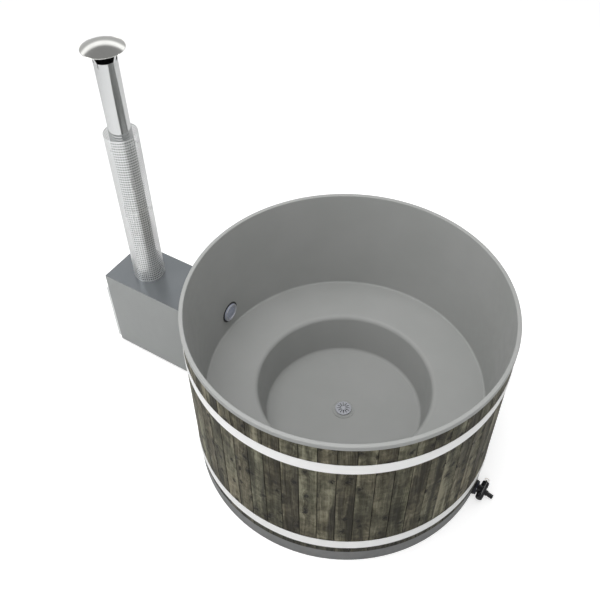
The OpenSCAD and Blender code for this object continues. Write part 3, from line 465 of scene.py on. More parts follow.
def stained_boards():
    """Olive-brown stained softwood: dark heart bands, mottling, knots, and a tint for each board. Below the
    lower hoop it has painted shade.
    """
    f = Finish("stained_boards", Specular_IOR_Level=0.16)
    grain = f.attribute("grain")
    seed = f.attribute("board", "Fac")
    across, _, along = f.split(grain)
    lane = f.math("MULTIPLY", seed, LANE_STEP)

    def field(wide, tall, detail=3.0, rough=0.55, distortion=0.0, start=None):
        """Noise over the boards, with its scales per metre across and along them."""
        spot = f.joined(f.math("MULTIPLY", start or across, wide), lane, f.math("MULTIPLY", along, tall))
        return f.noise(spot, 1.0, detail, rough, distortion)

    warp = f.math("MULTIPLY", f.math("SUBTRACT", field(WARP_SCALE, WARP_SCALE, detail=2.0), 0.5), WARP)
    knot_across = f.math("ADD", f.math("ADD", f.math("MULTIPLY", across, KNOTS_ACROSS), lane), warp)
    knot_spot = f.joined(knot_across, f.math("ADD", f.math("MULTIPLY", along, KNOTS_ALONG), warp), 0.0)
    knots = f.cells(knot_spot, 1.0)
    chosen = f.span(f.split(f.cells(knot_spot, 1.0, output="Color"))[0], *KNOT_CHOICE)
    core = f.math("MULTIPLY", f.span(knots, *KNOT_CORE), chosen)
    halo = f.math("MULTIPLY", f.span(knots, *KNOT_HALO), chosen)
    sway = f.math("MULTIPLY", field(wide=9.0, tall=2.2), SWAY)
    bent = f.math("ADD", f.math("ADD", across, sway), f.math("MULTIPLY", halo, KNOT_BEND))
    lines = field(wide=150.0, tall=2.6, detail=4.0, rough=0.6, start=bent)
    fibres = field(wide=800.0, tall=14.0, detail=3.0, rough=0.6)
    heart = field(wide=17.0, tall=1.1, detail=2.0, rough=0.5, distortion=0.4, start=bent)
    mottle = field(wide=26.0, tall=13.0, detail=4.0, rough=0.62, distortion=0.8)
    saw = field(wide=9.0, tall=48.0, detail=3.0, rough=0.6)
    stain = f.noise(f.scaled(f.place(), STAIN_SCALE), 1.0, detail=3.0, rough=0.6)
    tone = f.math("MULTIPLY", heart, HEART_SHARE)
    for layer, share in ((mottle, MOTTLE_SHARE), (lines, LINES_SHARE), (saw, SAW_SHARE)):
        tone = f.math("ADD", tone, f.math("MULTIPLY", layer, share))
    for layer, spread in ((seed, BOARD_SPREAD), (stain, STAIN_SPREAD)):
        tone = f.math("ADD", tone, f.math("MULTIPLY", f.math("SUBTRACT", layer, 0.5), spread))
    wood = f.ramp(tone, WOOD_STOPS)
    hue = f.mix(f.span(field(wide=3.0, tall=1.4, detail=2.0), *HUE_RANGE), WARM_HUE, GREEN_HUE)
    wood = f.mix(HUE_SHARE, wood, hue, "MULTIPLY")
    wood = f.mix(f.math("MULTIPLY", f.span(fibres, *FIBRE_RANGE), FIBRE_SHARE), wood, FIBRE_TONE)
    wood = f.mix(f.math("MULTIPLY", halo, HALO_SHARE), wood, HALO_TONE)
    wood = f.mix(f.math("MULTIPLY", core, CORE_SHARE), wood, CORE_TONE)
    # Painted shade: the boards turn darker below the lower hoop
    height = f.split(f.place())[2]
    foot = f.span(height, LOWER_HOOP_Z + FOOT_SHADE_BLUR, LOWER_HOOP_Z - FOOT_SHADE_BLUR, 0.0, FOOT_SHADE_SHARE)
    wood = f.mix(foot, wood, FOOT_SHADE_TONE)
    edge = f.attribute("edge", "Fac")
    worn = f.span(field(wide=60.0, tall=30.0), *SOFT_RANGE)
    most = f.math("ADD", GRIME_LEAST, f.math("MULTIPLY", worn, GRIME_MORE))
    wood = f.mix(f.math("MULTIPLY", f.span(edge, *EDGE_RANGE), most), wood, GRIME_TONE)
    f.colour(wood)
    f.rough(f.span(lines, *SOFT_RANGE, *WOOD_GLOSS))
    relief = f.math("MULTIPLY", lines, LINES_RELIEF)
    relief = f.math("ADD", relief, f.math("MULTIPLY", fibres, FIBRE_RELIEF))
    relief = f.math("SUBTRACT", relief, f.math("MULTIPLY", core, CORE_RELIEF))
    f.bump(relief, WOOD_RELIEF)
    return f.material


LINER = plastic("grey_liner", (0.292, 0.298, 0.290), (0.308, 0.312, 0.306), 0.44,
                grain=0.00002, scale=420.0, spread=0.08, Specular_IOR_Level=0.35)
BASE = plastic("dark_base", (0.130, 0.133, 0.132), (0.146, 0.149, 0.148), 0.5, grain=0.00004)
FITTING = plastic("fitting_grey", (0.300, 0.325, 0.400), (0.330, 0.352, 0.430), 0.26,
                  grain=0.00002, Coat_Weight=0.3)
PIPE_GREY = plastic("pipe_grey", (0.200, 0.205, 0.215), (0.225, 0.230, 0.240), 0.4)
CASING = plastic("casing_grey", (0.258, 0.268, 0.264), (0.269, 0.280, 0.276), 0.36,
                 grain=0.00001, scale=900.0, spread=0.06)
NAVY = plastic("navy_plastic", (0.008, 0.010, 0.020), (0.012, 0.014, 0.026), 0.3,
               scale=600.0, Specular_IOR_Level=0.3)
BURNT = metal("burnt_steel", (0.120, 0.112, 0.105), (0.200, 0.190, 0.180), 0.5,
              stretch=(40.0, 40.0, 4.0), metallic=0.8)
SOOT = plastic("soot", (0.006, 0.006, 0.006), (0.010, 0.010, 0.010), 0.9, grain=0.0002)

FINISHES = {
    "grey_liner": LINER,
    "dark_base": BASE,
    "rib_timber": plastic("rib_timber", (0.46, 0.33, 0.19), (0.38, 0.26, 0.14), 0.7,
                          grain=0.0002, scale=90.0),
    "foam": plastic("foam", (0.70, 0.62, 0.36), (0.62, 0.54, 0.30), 0.85, grain=0.0004, scale=300.0),
    "stained_boards": stained_boards(),
    "hoop_steel": metal("hoop_steel", (0.89, 0.89, 0.885), (0.84, 0.84, 0.835), 0.45,
                        stretch=(3.0, 3.0, 700.0), grain=0.000008, spread=0.08, metallic=0.3),
    "bolt_steel": metal("bolt_steel", (0.56, 0.57, 0.58), (0.48, 0.49, 0.50), 0.3,
                        stretch=(60.0, 60.0, 60.0)),
    "fitting_grey": FITTING,
    "pipe_grey": PIPE_GREY,
    "seal_rubber": plastic("seal_rubber", (0.020, 0.020, 0.021), (0.030, 0.030, 0.031), 0.62,
                           grain=0.00008, scale=500.0),
    "black_tap": plastic("black_tap", (0.006, 0.006, 0.007), (0.010, 0.010, 0.012), 0.22,
                         scale=600.0, Specular_IOR_Level=0.32),
    "wire_loop": metal("wire_loop", (0.40, 0.29, 0.15), (0.33, 0.24, 0.12), 0.4, metallic=0.4),
    "casing_grey": CASING,
    # The lid is darker and bluer than the casing's sides: a painted reflection of dark surroundings
    "lid_grey": metal("lid_grey", (0.185, 0.200, 0.212), (0.200, 0.214, 0.226), 0.24,
                      stretch=(5.0, 5.0, 5.0), grain=0.000004, spread=0.06, metallic=0.55),
    "boiler_steel": metal("boiler_steel", (0.16, 0.16, 0.165), (0.22, 0.22, 0.225), 0.5),
    "front_steel": metal("front_steel", (0.55, 0.56, 0.56), (0.50, 0.51, 0.51), 0.34,
                         stretch=(5.0, 300.0, 5.0), metallic=0.5),
    "rope_seal": plastic("rope_seal", (0.62, 0.60, 0.55), (0.50, 0.48, 0.43), 0.9,
                         grain=0.0004, scale=700.0),
    "grip_wood": plastic("grip_wood", (0.16, 0.070, 0.028), (0.10, 0.042, 0.016), 0.4,
                         grain=0.0001, scale=60.0),
    "cast_grate": metal("cast_grate", (0.050, 0.050, 0.053), (0.075, 0.075, 0.078), 0.62,
                        stretch=(90.0, 90.0, 90.0), grain=0.0003, metallic=0.7),
    "flue_steel": metal("flue_steel", (0.72, 0.73, 0.73), (0.68, 0.69, 0.69), 0.10,
                        stretch=(300.0, 300.0, 1.5), grain=0.000003, spread=0.05, metallic=0.94),
    "shield_steel": metal("shield_steel", (0.88, 0.89, 0.89), (0.82, 0.83, 0.83), 0.30,
                          stretch=(90.0, 90.0, 3.0), grain=0.000004, spread=0.06, metallic=0.66)}
CAP = metal("cap_steel", (0.88, 0.88, 0.85), (0.84, 0.84, 0.81), 0.13,
            stretch=(20.0, 20.0, 20.0), grain=0.000003, spread=0.05)
RIM_STEEL = metal("rim_steel", (0.74, 0.75, 0.75), (0.68, 0.69, 0.69), 0.38,
                  stretch=(5.0, 300.0, 5.0), metallic=0.12)
# Duller steel of the pipe inside the shield, made darker as painted shade
PIPE_PAINTED_SHADE = metal("pipe_painted_shade", (0.38, 0.39, 0.39), (0.30, 0.31, 0.31), 0.45,
                  stretch=(90.0, 90.0, 3.0), metallic=0.7)
SHIELD_INSIDE = metal("shield_inside", (0.86, 0.87, 0.87), (0.80, 0.81, 0.81), 0.42,
                      stretch=(90.0, 90.0, 3.0), grain=0.000004, spread=0.06, metallic=0.35)
DRAIN = plastic("drain_steel", (0.460, 0.470, 0.505), (0.410, 0.420, 0.455), 0.26,
                grain=0.00002, Metallic=0.25)

SLOT_OF = {part["node"]: part["material_slot"] for part in frame["record"]["subparts"]}
BODY_OF = {node: body for body, nodes in frame["record"]["behaviour"]["bodies"].items() for node in nodes}
OWN_FINISH = {
    "rain_cap": CAP, "port_body": FITTING, "drain_body": LINER, "firebox": BURNT, "smoke_baffle": BURNT,
    "firebox_rails": BURNT, "flue_spigot": BURNT, "flue_collar": FINISHES["lid_grey"]}


def finish_of(node):
    return OWN_FINISH.get(node, FINISHES[SLOT_OF[node]])


for node, solid in frame["nodes"].items():
    solid.data.materials.clear()
    solid.data.materials.append(finish_of(node))


def piece(name, vertices, faces, finish, body="tub", replaces=()):
    """A mesh object that rides on a body and stands for the CAD nodes it replaces."""
    mesh = bpy.data.meshes.new(name)
    mesh.from_pydata(vertices, [], faces)
    mesh.validate()
    mesh.polygons.foreach_set("use_smooth", [True] * len(mesh.polygons))
    mesh.materials.append(finish)
    obj = bpy.data.objects.new(name, mesh)
    bpy.context.scene.collection.objects.link(obj)
    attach(obj, body)
    if replaces:
        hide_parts(*replaces)
    return obj


def arc(centre, radius, start, end, steps):
    """Points of an arc in a profile, with its angles in degrees."""
    turns = [math.radians(start + (end - start) * i / steps) for i in range(steps + 1)]
    return [(centre[0] + radius * math.cos(t), centre[1] + radius * math.sin(t)) for t in turns]


def lathe(profile, segments, closed=True):
    """Vertices and faces of a profile [(r, z)] turned about Z. A closed profile ends where it starts."""
    vertices, faces = [], []
    for k in range(segments):
        t = math.radians(360.0 * k / segments)
        vertices += [(r * math.cos(t), r * math.sin(t), z) for r, z in profile]
    n = len(profile)
    for k in range(segments):
        a, b = k * n, (k + 1) % segments * n
        for j in range(n if closed else n - 1):
            i = (j + 1) % n
            faces.append((a + j, b + j, b + i, a + i))
    return vertices, faces


def ring_set(outlines, segments):
    """Vertices and faces of several rings, each the turned form of one closed outline."""
    vertices, faces = [], []
    for outline in outlines:
        more, sides = lathe(outline, segments)
        faces += [tuple(i + len(vertices) for i in side) for side in sides]
        vertices += more
    return vertices, faces


def facing_x(x, z):
    """Place of a turned piece whose axis runs along +X, from a point over the X axis."""
    return Matrix.Translation((x, 0, z)) @ Matrix.Rotation(math.radians(90), 4, "Y")


def moved(vertices, matrix):
    return [tuple(matrix @ Vector(v)) for v in vertices]


def rounded(points, steps):
    """Closed profile through points (x, y, radius), each corner rounded by its radius."""
    out = []
    n = len(points)
    for i, (x, y, r) in enumerate(points):
        b = Vector((x, y))
        if r == 0:
            out.append((x, y))
            continue
        u = (Vector(points[i - 1][:2]) - b).normalized()
        v = (Vector(points[(i + 1) % n][:2]) - b).normalized()
        half = u.angle(v) / 2
        centre = b + (u + v).normalized() * r / math.sin(half)
        a0 = b + u * r / math.tan(half) - centre
        a1 = b + v * r / math.tan(half) - centre
        turn = a0.angle_signed(a1)
        for k in range(steps + 1):
            c = Matrix.Rotation(-turn * k / steps, 2) @ a0
            out.append(tuple(centre + c))
    return out


def level(obj):
    """Lets large faces keep their own direction in smooth shading."""
    modifier = obj.modifiers.new("level", "WEIGHTED_NORMAL")
    modifier.keep_sharp = True
    modifier.weight = NORMAL_WEIGHT


def sharpen(obj, degrees):
    """Stops smooth shading at edges sharper than the angle, and levels the rest."""
    bm = bmesh.new()
    bm.from_mesh(obj.data)
    limit = math.radians(degrees)
    for edge in bm.edges:
        if len(edge.link_faces) == 2 and edge.calc_face_angle(0.0) > limit:
            edge.smooth = False
    bm.to_mesh(obj.data)
    bm.free()
    level(obj)


def eased(node, width):
    """A copy of a CAD node with its sharp edges rounded, which stands for it."""
    mesh = frame["nodes"][node].data.copy()
    mesh.name = node + "_eased"
    bm = bmesh.new()
    bm.from_mesh(mesh)
    bmesh.ops.remove_doubles(bm, verts=bm.verts, dist=CAD_WELD_NEAR)
    bmesh.ops.dissolve_limit(bm, angle_limit=math.radians(FLAT_TURN), verts=bm.verts, edges=bm.edges)
    for face in bm.faces:
        face.smooth = True
    for edge in bm.edges:
        edge.smooth = True
    bm.to_mesh(mesh)
    bm.free()
    obj = bpy.data.objects.new(mesh.name, mesh)
    bpy.context.scene.collection.objects.link(obj)
    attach(obj, BODY_OF[node])
    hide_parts(node)
    bevel = obj.modifiers.new("edges", "BEVEL")
    bevel.width = width
    bevel.segments = EASE_STEPS
    bevel.limit_method = "ANGLE"
    bevel.angle_limit = math.radians(EASE_ABOVE)
    bevel.use_clamp_overlap = True
    level(obj)


def weld(obj):
    """Joins the points that fall together on the axis of a turned piece."""
    bm = bmesh.new()
    bm.from_mesh(obj.data)
    bmesh.ops.remove_doubles(bm, verts=bm.verts, dist=WELD_NEAR)
    bm.to_mesh(obj.data)
    bm.free()


def outward(polygon):
    """Distance from the chimney's axis along a face's normal. It is below 0 where the face looks inward."""
    c = polygon.center
    return polygon.normal.x * (c.x - FLUE_X) + polygon.normal.y * c.y


def tub_liner():
    """One-piece liner with a rolled rim, leaning wall, bench and foot well."""
    skirt_r, foot_z, under_z = RIM_R - SKIRT_T, RIM_Z - RIM_DROP, RIM_Z - RIM_T
    face = [
        (RIM_R, foot_z, RIM_LIP_ROUND), (RIM_R, RIM_Z, RIM_ROUND), (WALL_TOP_R, RIM_Z, RIM_ROUND),
        (BENCH_R, BENCH_Z, BENCH_ROUND), (WELL_TOP_R, WELL_EDGE_Z, WELL_EDGE_ROUND),
        (WELL_BOT_R, FLOOR_Z, WELL_FOOT_ROUND), (DRAIN_BORE_R, FLOOR_Z, 0)]
    back = [
        (DRAIN_BORE_R, FLOOR_Z - SHELL_T, 0),
        (WELL_BOT_R + SHELL_T, FLOOR_Z - SHELL_T, WELL_FOOT_ROUND + SHELL_T),
        (WELL_TOP_R + SHELL_T, WELL_EDGE_Z - SHELL_T, WELL_EDGE_ROUND - SHELL_T),
        (BENCH_R + SHELL_T, BENCH_Z - SHELL_T, BENCH_ROUND + SHELL_T),
        (WALL_TOP_R + SHELL_T, under_z, 0), (skirt_r, under_z, 0), (skirt_r, foot_z, 0)]
    vertices, faces = lathe(rounded(face + back, steps=8), LINER_SIDES)
    obj = piece("liner_shell", vertices, faces, LINER, replaces=["tub_liner"])
    sharpen(obj, TURNED_SHARP)


def port_pad():
    """Round pad of the liner's wall, where the hot inlet sits. It is shaded as the wall is."""
    outline = rounded([(PAD_BORE_R, 0, 0), (PAD_FOOT_R, 0, 0), (PAD_TOP_R, PAD_DEPTH, PAD_ROUND),
                       (PAD_BORE_R, PAD_DEPTH, 0)], steps=8)
    vertices, faces = lathe(outline, FITTING_SIDES)
    place = facing_x(PAD_FACE_X - PAD_DEPTH, PORT_Z)
    obj = piece("liner_port_pad", moved(vertices, place), faces, LINER, replaces=["tub_liner"])
    obj.data.shade_smooth()
    lean = (WALL_TOP_R - BENCH_R) / (RIM_Z - BENCH_Z)
    normals = []
    for vertex in obj.data.vertices:
        x, y, z = vertex.co
        normals.append(Vector((-x, -y, math.hypot(x, y) * lean)).normalized())
    obj.data.normals_split_custom_set_from_vertices(normals)


def wall_boards():
    """Upright boards with eased edges. Each carries its own grain coordinates, tint and grimy edges."""
    half = math.pi / BOARD_N
    face_r = BOARD_R * math.cos(half)
    half_w = BOARD_R * math.sin(half) - BOARD_GAP / 2
    vertices, faces, grain, board, edge = [], [], [], [], []
    for i in range(BOARD_N):
        turn = Matrix.Rotation((2 * i + 1) * half + math.radians(BOARD_TURN), 4, "Z")
        seed = random.random()
        lift = random.uniform(-BOARD_LIFT, 0.0)
        start = random.uniform(0.0, GRAIN_LENGTH)
        cup = random.uniform(0.0, BOARD_CUP)
        outline = []
        for share in BOARD_ACROSS:
            fall = BOARD_FALL.get(abs(share), cup * share * share)
            outline.append((share * half_w, face_r + lift - fall, abs(share)))
        outline += [(half_w, face_r - BOARD_T, 1.0), (-half_w, face_r - BOARD_T, 1.0)]
        base, n = len(vertices), len(outline)
        for row in range(BOARD_ROWS + 1):
            z = BOARD_Z0 + (BOARD_Z1 - BOARD_Z0) * row / BOARD_ROWS
            for across, depth, side in outline:
                vertices.append(tuple(turn @ Vector((depth, across, z))))
                grain.append((across, depth - face_r, z + start))
                board.append(seed)
                edge.append(BOARD_GRIME.get(side, 0.0))
        for row in range(BOARD_ROWS):
            a, b = base + row * n, base + (row + 1) * n
            faces += [(a + j, a + (j + 1) % n, b + (j + 1) % n, b + j) for j in range(n)]
        faces.append(tuple(base + j for j in reversed(range(n))))
        faces.append(tuple(base + BOARD_ROWS * n + j for j in range(n)))
    obj = piece("board_wall", vertices, faces, finish_of("wall_boards"),
                replaces=["wall_boards", "port_boards"])
    layer = obj.data.attributes.new("grain", "FLOAT_VECTOR", "POINT")
    layer.data.foreach_set("vector", [number for place in grain for number in place])
    for name, values in (("board", board), ("edge", edge)):
        layer = obj.data.attributes.new(name, "FLOAT", "POINT")
        layer.data.foreach_set("value", values)
    sharpen(obj, BOARD_SHARP)


def heat_shield():
    """Perforated sheet rolled to a tube, with round holes and a plain band at each end."""
    pitch_z = (SHIELD_L - 2 * SHIELD_BAND) / HOLE_ROWS
    heights = [0.0] + [SHIELD_BAND + pitch_z * i for i in range(HOLE_ROWS + 1)] + [SHIELD_L]
    rows, quarter = len(heights), HOLE_CORNERS // 4
    vertices, faces = [], []

    def at(turn, z, r):
        vertices.append((FLUE_X + r * math.cos(turn), r * math.sin(turn), PIPE_Z0 + z))
        return len(vertices) - 1

    step = 2 * math.pi / HOLES_AROUND
    grids, holes = [], []
    for r in (SHIELD_R, SHIELD_R - SHIELD_T):
        grids.append([[at(step * k, z, r) for k in range(HOLES_AROUND)] for z in heights])
        rings = {}
        for row in range(1, rows - 2):
            mid = (heights[row] + heights[row + 1]) / 2
            for k in range(HOLES_AROUND):
                ring = []
                for c in range(HOLE_CORNERS):
                    a = 2 * math.pi * c / HOLE_CORNERS - 3 * math.pi / 4
                    turn = step * (k + 0.5) + HOLE_R * math.cos(a) / SHIELD_R
                    ring.append(at(turn, mid + HOLE_R * math.sin(a), r))
                rings[row, k] = ring
        holes.append(rings)
    for side, (grid, rings) in enumerate(zip(grids, holes)):
        for row in range(rows - 1):
            for k in range(HOLES_AROUND):
                after = (k + 1) % HOLES_AROUND
                corners = [grid[row][k], grid[row][after], grid[row + 1][after], grid[row + 1][k]]
                found = [tuple(corners)]
                if (row, k) in rings:
                    ring = rings[row, k]
                    found = []
                    for q in range(4):
                        inner = [ring[(quarter * q + i) % HOLE_CORNERS] for i in range(quarter + 1)]
                        found.append((corners[q], corners[(q + 1) % 4], *reversed(inner)))
                faces += [tuple(reversed(face)) if side else face for face in found]
    for key, ring in holes[0].items():
        back = holes[1][key]
        for i in range(HOLE_CORNERS):
            j = (i + 1) % HOLE_CORNERS
            faces.append((ring[j], ring[i], back[i], back[j]))
    for row, flip in ((0, False), (rows - 1, True)):
        for k in range(HOLES_AROUND):
            after = (k + 1) % HOLES_AROUND
            edge = (grids[0][row][after], grids[0][row][k], grids[1][row][k], grids[1][row][after])
            faces.append(tuple(reversed(edge)) if flip else edge)
    obj = piece("shield_mesh", vertices, faces, finish_of("heat_shield"),
                replaces=["heat_shield"])
    sharpen(obj, TURNED_SHARP)
    obj.data.materials.append(SHIELD_INSIDE)
    for polygon in obj.data.polygons:
        if outward(polygon) < -SHIELD_R / 2:
            polygon.material_index = 1


def smoke_pipe():
    """Polished pipe with a rolled top edge and a sooty bore. Inside the shield it is duller, and darker as
    painted shade.
    """
    shade_top = PIPE_Z0 + SHIELD_L - PIPE_SHADE_DROP
    bore_r = PIPE_R - PIPE_T
    profile = rounded([(bore_r, PIPE_Z0, 0), (PIPE_R, PIPE_Z0, 0), (PIPE_R, shade_top, 0),
                       (PIPE_R, PIPE_Z1, PIPE_ROUND_OUT), (bore_r, PIPE_Z1, PIPE_ROUND_IN)], steps=4)
    vertices, faces = lathe(profile, PIPE_SIDES)
    obj = piece("smoke_tube", moved(vertices, Matrix.Translation((FLUE_X, 0, 0))), faces,
                finish_of("smoke_pipe"), replaces=["smoke_pipe"])
    sharpen(obj, TURNED_SHARP)
    obj.data.materials.append(SOOT)
    obj.data.materials.append(PIPE_PAINTED_SHADE)
    for polygon in obj.data.polygons:
        if outward(polygon) < 0:
            polygon.material_index = 1
        # Painted shade on the pipe inside the shield
        elif polygon.center.z < shade_top:
            polygon.material_index = 2


def rain_cap():
    """Spun dome with a rolled bead round its rim."""
    centre = (0, CAP_CENTRE_Z)
    edge_turn = 90.0 - math.degrees(math.asin((CAP_R - CAP_EDGE) / CAP_BALL_R))
    top = arc(centre, CAP_BALL_R, 90.0, edge_turn, CAP_STEPS)
    bead = arc((CAP_R - CAP_BEAD_R, CAP_Z), CAP_BEAD_R, start=60.0, end=-150.0, steps=10)
    under = arc(centre, CAP_BALL_R - CAP_T, edge_turn + CAP_INNER_TURN, 90.0, CAP_STEPS)
    profile = [(max(r, 0.0), z) for r, z in top + bead + under]
    vertices, faces = lathe(profile, CAP_SIDES, closed=False)
    obj = piece("cap_dome", moved(vertices, Matrix.Translation((FLUE_X, 0, 0))), faces, CAP,
                replaces=["rain_cap"])
    weld(obj)
    sharpen(obj, TURNED_SHARP)


def cut(obj, boxes):
    """Cuts boxes, each (low, high, matrix), out of a piece."""
    bm = bmesh.new()
    for low, high, matrix in boxes:
        size = [b - a for a, b in zip(low, high)]
        middle = [(a + b) / 2 for a, b in zip(low, high)]
        place = matrix @ Matrix.Translation(middle) @ Matrix.Diagonal((*size, 1.0))
        bmesh.ops.create_cube(bm, size=1.0, matrix=place)
    mesh = bpy.data.meshes.new(obj.name + "_cutter")
    bm.to_mesh(mesh)
    bm.free()
    cutter = bpy.data.objects.new(mesh.name, mesh)
    bpy.context.scene.collection.objects.link(cutter)
    shape = obj.modifiers.new("slots", "BOOLEAN")
    shape.operation = "DIFFERENCE"
    shape.solver = "EXACT"
    shape.use_self = True
    shape.object = cutter
    bpy.context.view_layer.update()
    evaluated = obj.evaluated_get(bpy.context.evaluated_depsgraph_get())
    result = bpy.data.meshes.new_from_object(evaluated)
    obj.modifiers.remove(shape)
    obj.data = result
    bpy.data.objects.remove(cutter)
    bpy.data.meshes.remove(mesh)


def port_cover():
    """Round inlet cover with a rolled rim, a groove, a ridge and a slotted centre. Lighter rings over its
    rim and ridge are a painted highlight.
    """
    profile = [(0.0, 0.0), (PORT_R - PORT_INSET, 0.0)]
    profile += arc((PORT_R - PORT_ROLL, PORT_ROLL), PORT_ROLL, start=-45.0, end=130.0, steps=7)
    profile += PORT_GROOVE + arc(PORT_RIDGE, PORT_RIDGE_ROUND, start=20.0, end=160.0, steps=5)
    profile += PORT_STEP + PORT_CROWN
    vertices, faces = lathe(profile, FITTING_SIDES, closed=False)
    obj = piece("port_cover", vertices, faces, FITTING, replaces=["port_grille"])
    weld(obj)
    slots = []
    for i in range(PORT_SLOTS):
        middle = (i - (PORT_SLOTS - 1) / 2) * PORT_SLOT_PITCH
        reach = math.sqrt(PORT_SLOT_REACH ** 2 - middle * middle)
        low = (middle - PORT_SLOT_W / 2, -reach, -SLOT_BELOW)
        high = (middle + PORT_SLOT_W / 2, reach, PORT_SLOT_ABOVE)
        slots.append((low, high, Matrix.Identity(4)))
    cut(obj, slots)
    place = facing_x(PORT_FACE_X, PORT_Z)
    obj.data.transform(place)
    sharpen(obj, SLOTTED_SHARP)
    # Painted highlight: rings of a lighter finish over the rim and the ridge
    turns = [2 * math.pi * i / PORT_HIGHLIGHT_SIDES for i in range(PORT_HIGHLIGHT_SIDES)]
    outlines = []
    for ring_r, half in PORT_HIGHLIGHT_RINGS:
        outlines.append([(ring_r + half * math.cos(t), PORT_HIGHLIGHT_Z + half * math.sin(t)) for t in turns])
    vertices, faces = ring_set(outlines, FITTING_SIDES)
    piece("port_highlight_rings", moved(vertices, place), faces, DRAIN)


def drain_dome():
    """Raised round drain cover on short feet, with a rolled rim and radial slots."""
    profile = DRAIN_UNDER + arc(DRAIN_ROLL_AT, DRAIN_ROLL, start=-80.0, end=80.0, steps=8) + DRAIN_CROWN
    vertices, faces = lathe(profile, FITTING_SIDES, closed=False)
    obj = piece("drain_dome", vertices, faces, DRAIN, replaces=["drain_grille"])
    weld(obj)
    low = (DRAIN_SLOT_R0, -DRAIN_SLOT_HALF, -SLOT_BELOW)
    high = (DRAIN_SLOT_R1, DRAIN_SLOT_HALF, DRAIN_SLOT_ABOVE)
    turns = [2 * math.pi * i / DRAIN_SLOTS for i in range(DRAIN_SLOTS)]
    cut(obj, [(low, high, Matrix.Rotation(t, 4, "Z")) for t in turns])
    bm = bmesh.new()
    bm.from_mesh(obj.data)
    for i in range(DRAIN_FEET):
        t = 2 * math.pi * (i + 0.5) / DRAIN_FEET
        spot = (DRAIN_FOOT_AT * math.cos(t), DRAIN_FOOT_AT * math.sin(t), DRAIN_FOOT_MID)
        bmesh.ops.create_cone(bm, cap_ends=True, segments=20, radius1=DRAIN_FOOT_R, radius2=DRAIN_FOOT_TIP_R,
                              depth=DRAIN_FOOT_H, matrix=Matrix.Translation(spot))
    bm.to_mesh(obj.data)
    bm.free()
    obj.data.transform(Matrix.Translation((0, 0, FLOOR_Z + DRAIN_FLANGE_T)))
    sharpen(obj, SLOTTED_SHARP)


def drain_rings():
    """Two low ridges on the floor round the drain."""
    outlines = []
    for middle in DRAIN_RINGS:
        r0, r1 = middle - DRAIN_RING_HALF, middle + DRAIN_RING_HALF
        outline = rounded([(r0, 0.0, 0), (r1, 0.0, 0), (r1, DRAIN_RING_H, DRAIN_RING_ROUND),
                           (r0, DRAIN_RING_H, DRAIN_RING_ROUND)], steps=4)
        outlines.append([(r, z + FLOOR_Z + DRAIN_FLANGE_T - DRAIN_RING_SINK) for r, z in outline])
    vertices, faces = ring_set(outlines, FITTING_SIDES)
    sharpen(piece("drain_rings", vertices, faces, LINER), TURNED_SHARP)


def tap_clamp():
    """Clamp ring with screws on the tap's flange."""
    x0 = TAP_FACE_X + TAP_FLANGE_T - CLAMP_SINK
    place = facing_x(x0, LINE_Z)
    ring = rounded([(CLAMP_R0, 0.0, 0), (CLAMP_R1, 0.0, 0), (CLAMP_R1, CLAMP_T, CLAMP_OUTER_ROUND),
                    (CLAMP_R0, CLAMP_T, CLAMP_INNER_ROUND)], steps=4)
    vertices, faces = lathe(ring, segments=72)
    sharpen(piece("tap_clamp_ring", moved(vertices, place), faces, NAVY), TURNED_SHARP)
    heads = []
    for i in range(SCREW_N):
        t = 2 * math.pi * (i + 0.5) / SCREW_N
        spot = (x0 + CLAMP_T, SCREW_AT * math.cos(t), LINE_Z + SCREW_AT * math.sin(t))
        heads.append((spot, (1, 0, 0)))
    heads_on("tap_screws", heads, SCREW_R, SCREW_H)


def tap_collars():
    """Collars at the two ends of the tap's barrel."""
    place = Matrix.Translation((BARREL_X, 0, LINE_Z)) @ Matrix.Rotation(math.radians(-90), 4, "X")
    outer_r = BARREL_R + COLLAR_OVER
    for name, y0 in (("tap_collar_near", -BARREL_HALF), ("tap_collar_far", BARREL_HALF - COLLAR_W)):
        y1 = y0 + COLLAR_W
        band = rounded([(COLLAR_R0, y0, 0), (outer_r, y0, COLLAR_ROUND), (outer_r, y1, COLLAR_ROUND),
                        (COLLAR_R0, y1, 0)], steps=3)
        vertices, faces = lathe(band, segments=64)
        sharpen(piece(name, moved(vertices, place), faces, FINISHES["black_tap"]), TURNED_SHARP)


def heads_on(name, places, radius, height):
    """Low domed steel heads. Each place is a point on the surface and the outward direction there."""
    turns = [math.radians(HEAD_TURN * i) for i in range(HEAD_ROWS)]
    profile = [(radius, -HEAD_SINK)] + [(radius * math.cos(t), height * math.sin(t)) for t in turns]
    around = [2 * math.pi * k / HEAD_SIDES for k in range(HEAD_SIDES)]
    vertices, faces = [], []
    for point, out in places:
        turn = Vector((0, 0, 1)).rotation_difference(Vector(out)).to_matrix().to_4x4()
        place = Matrix.Translation(point) @ turn
        base = len(vertices)
        for r, z in profile:
            vertices += [tuple(place @ Vector((r * math.cos(t), r * math.sin(t), z))) for t in around]
        vertices.append(tuple(place @ Vector((0, 0, height))))
        for row in range(len(profile) - 1):
            for k in range(HEAD_SIDES):
                a, b = base + row * HEAD_SIDES + k, base + row * HEAD_SIDES + (k + 1) % HEAD_SIDES
                faces.append((a, b, b + HEAD_SIDES, a + HEAD_SIDES))
        last, tip = base + (len(profile) - 1) * HEAD_SIDES, len(vertices) - 1
        faces += [(last + k, last + (k + 1) % HEAD_SIDES, tip) for k in range(HEAD_SIDES)]
        faces.append(tuple(base + k for k in reversed(range(HEAD_SIDES))))
    piece(name, vertices, faces, FINISHES["bolt_steel"])


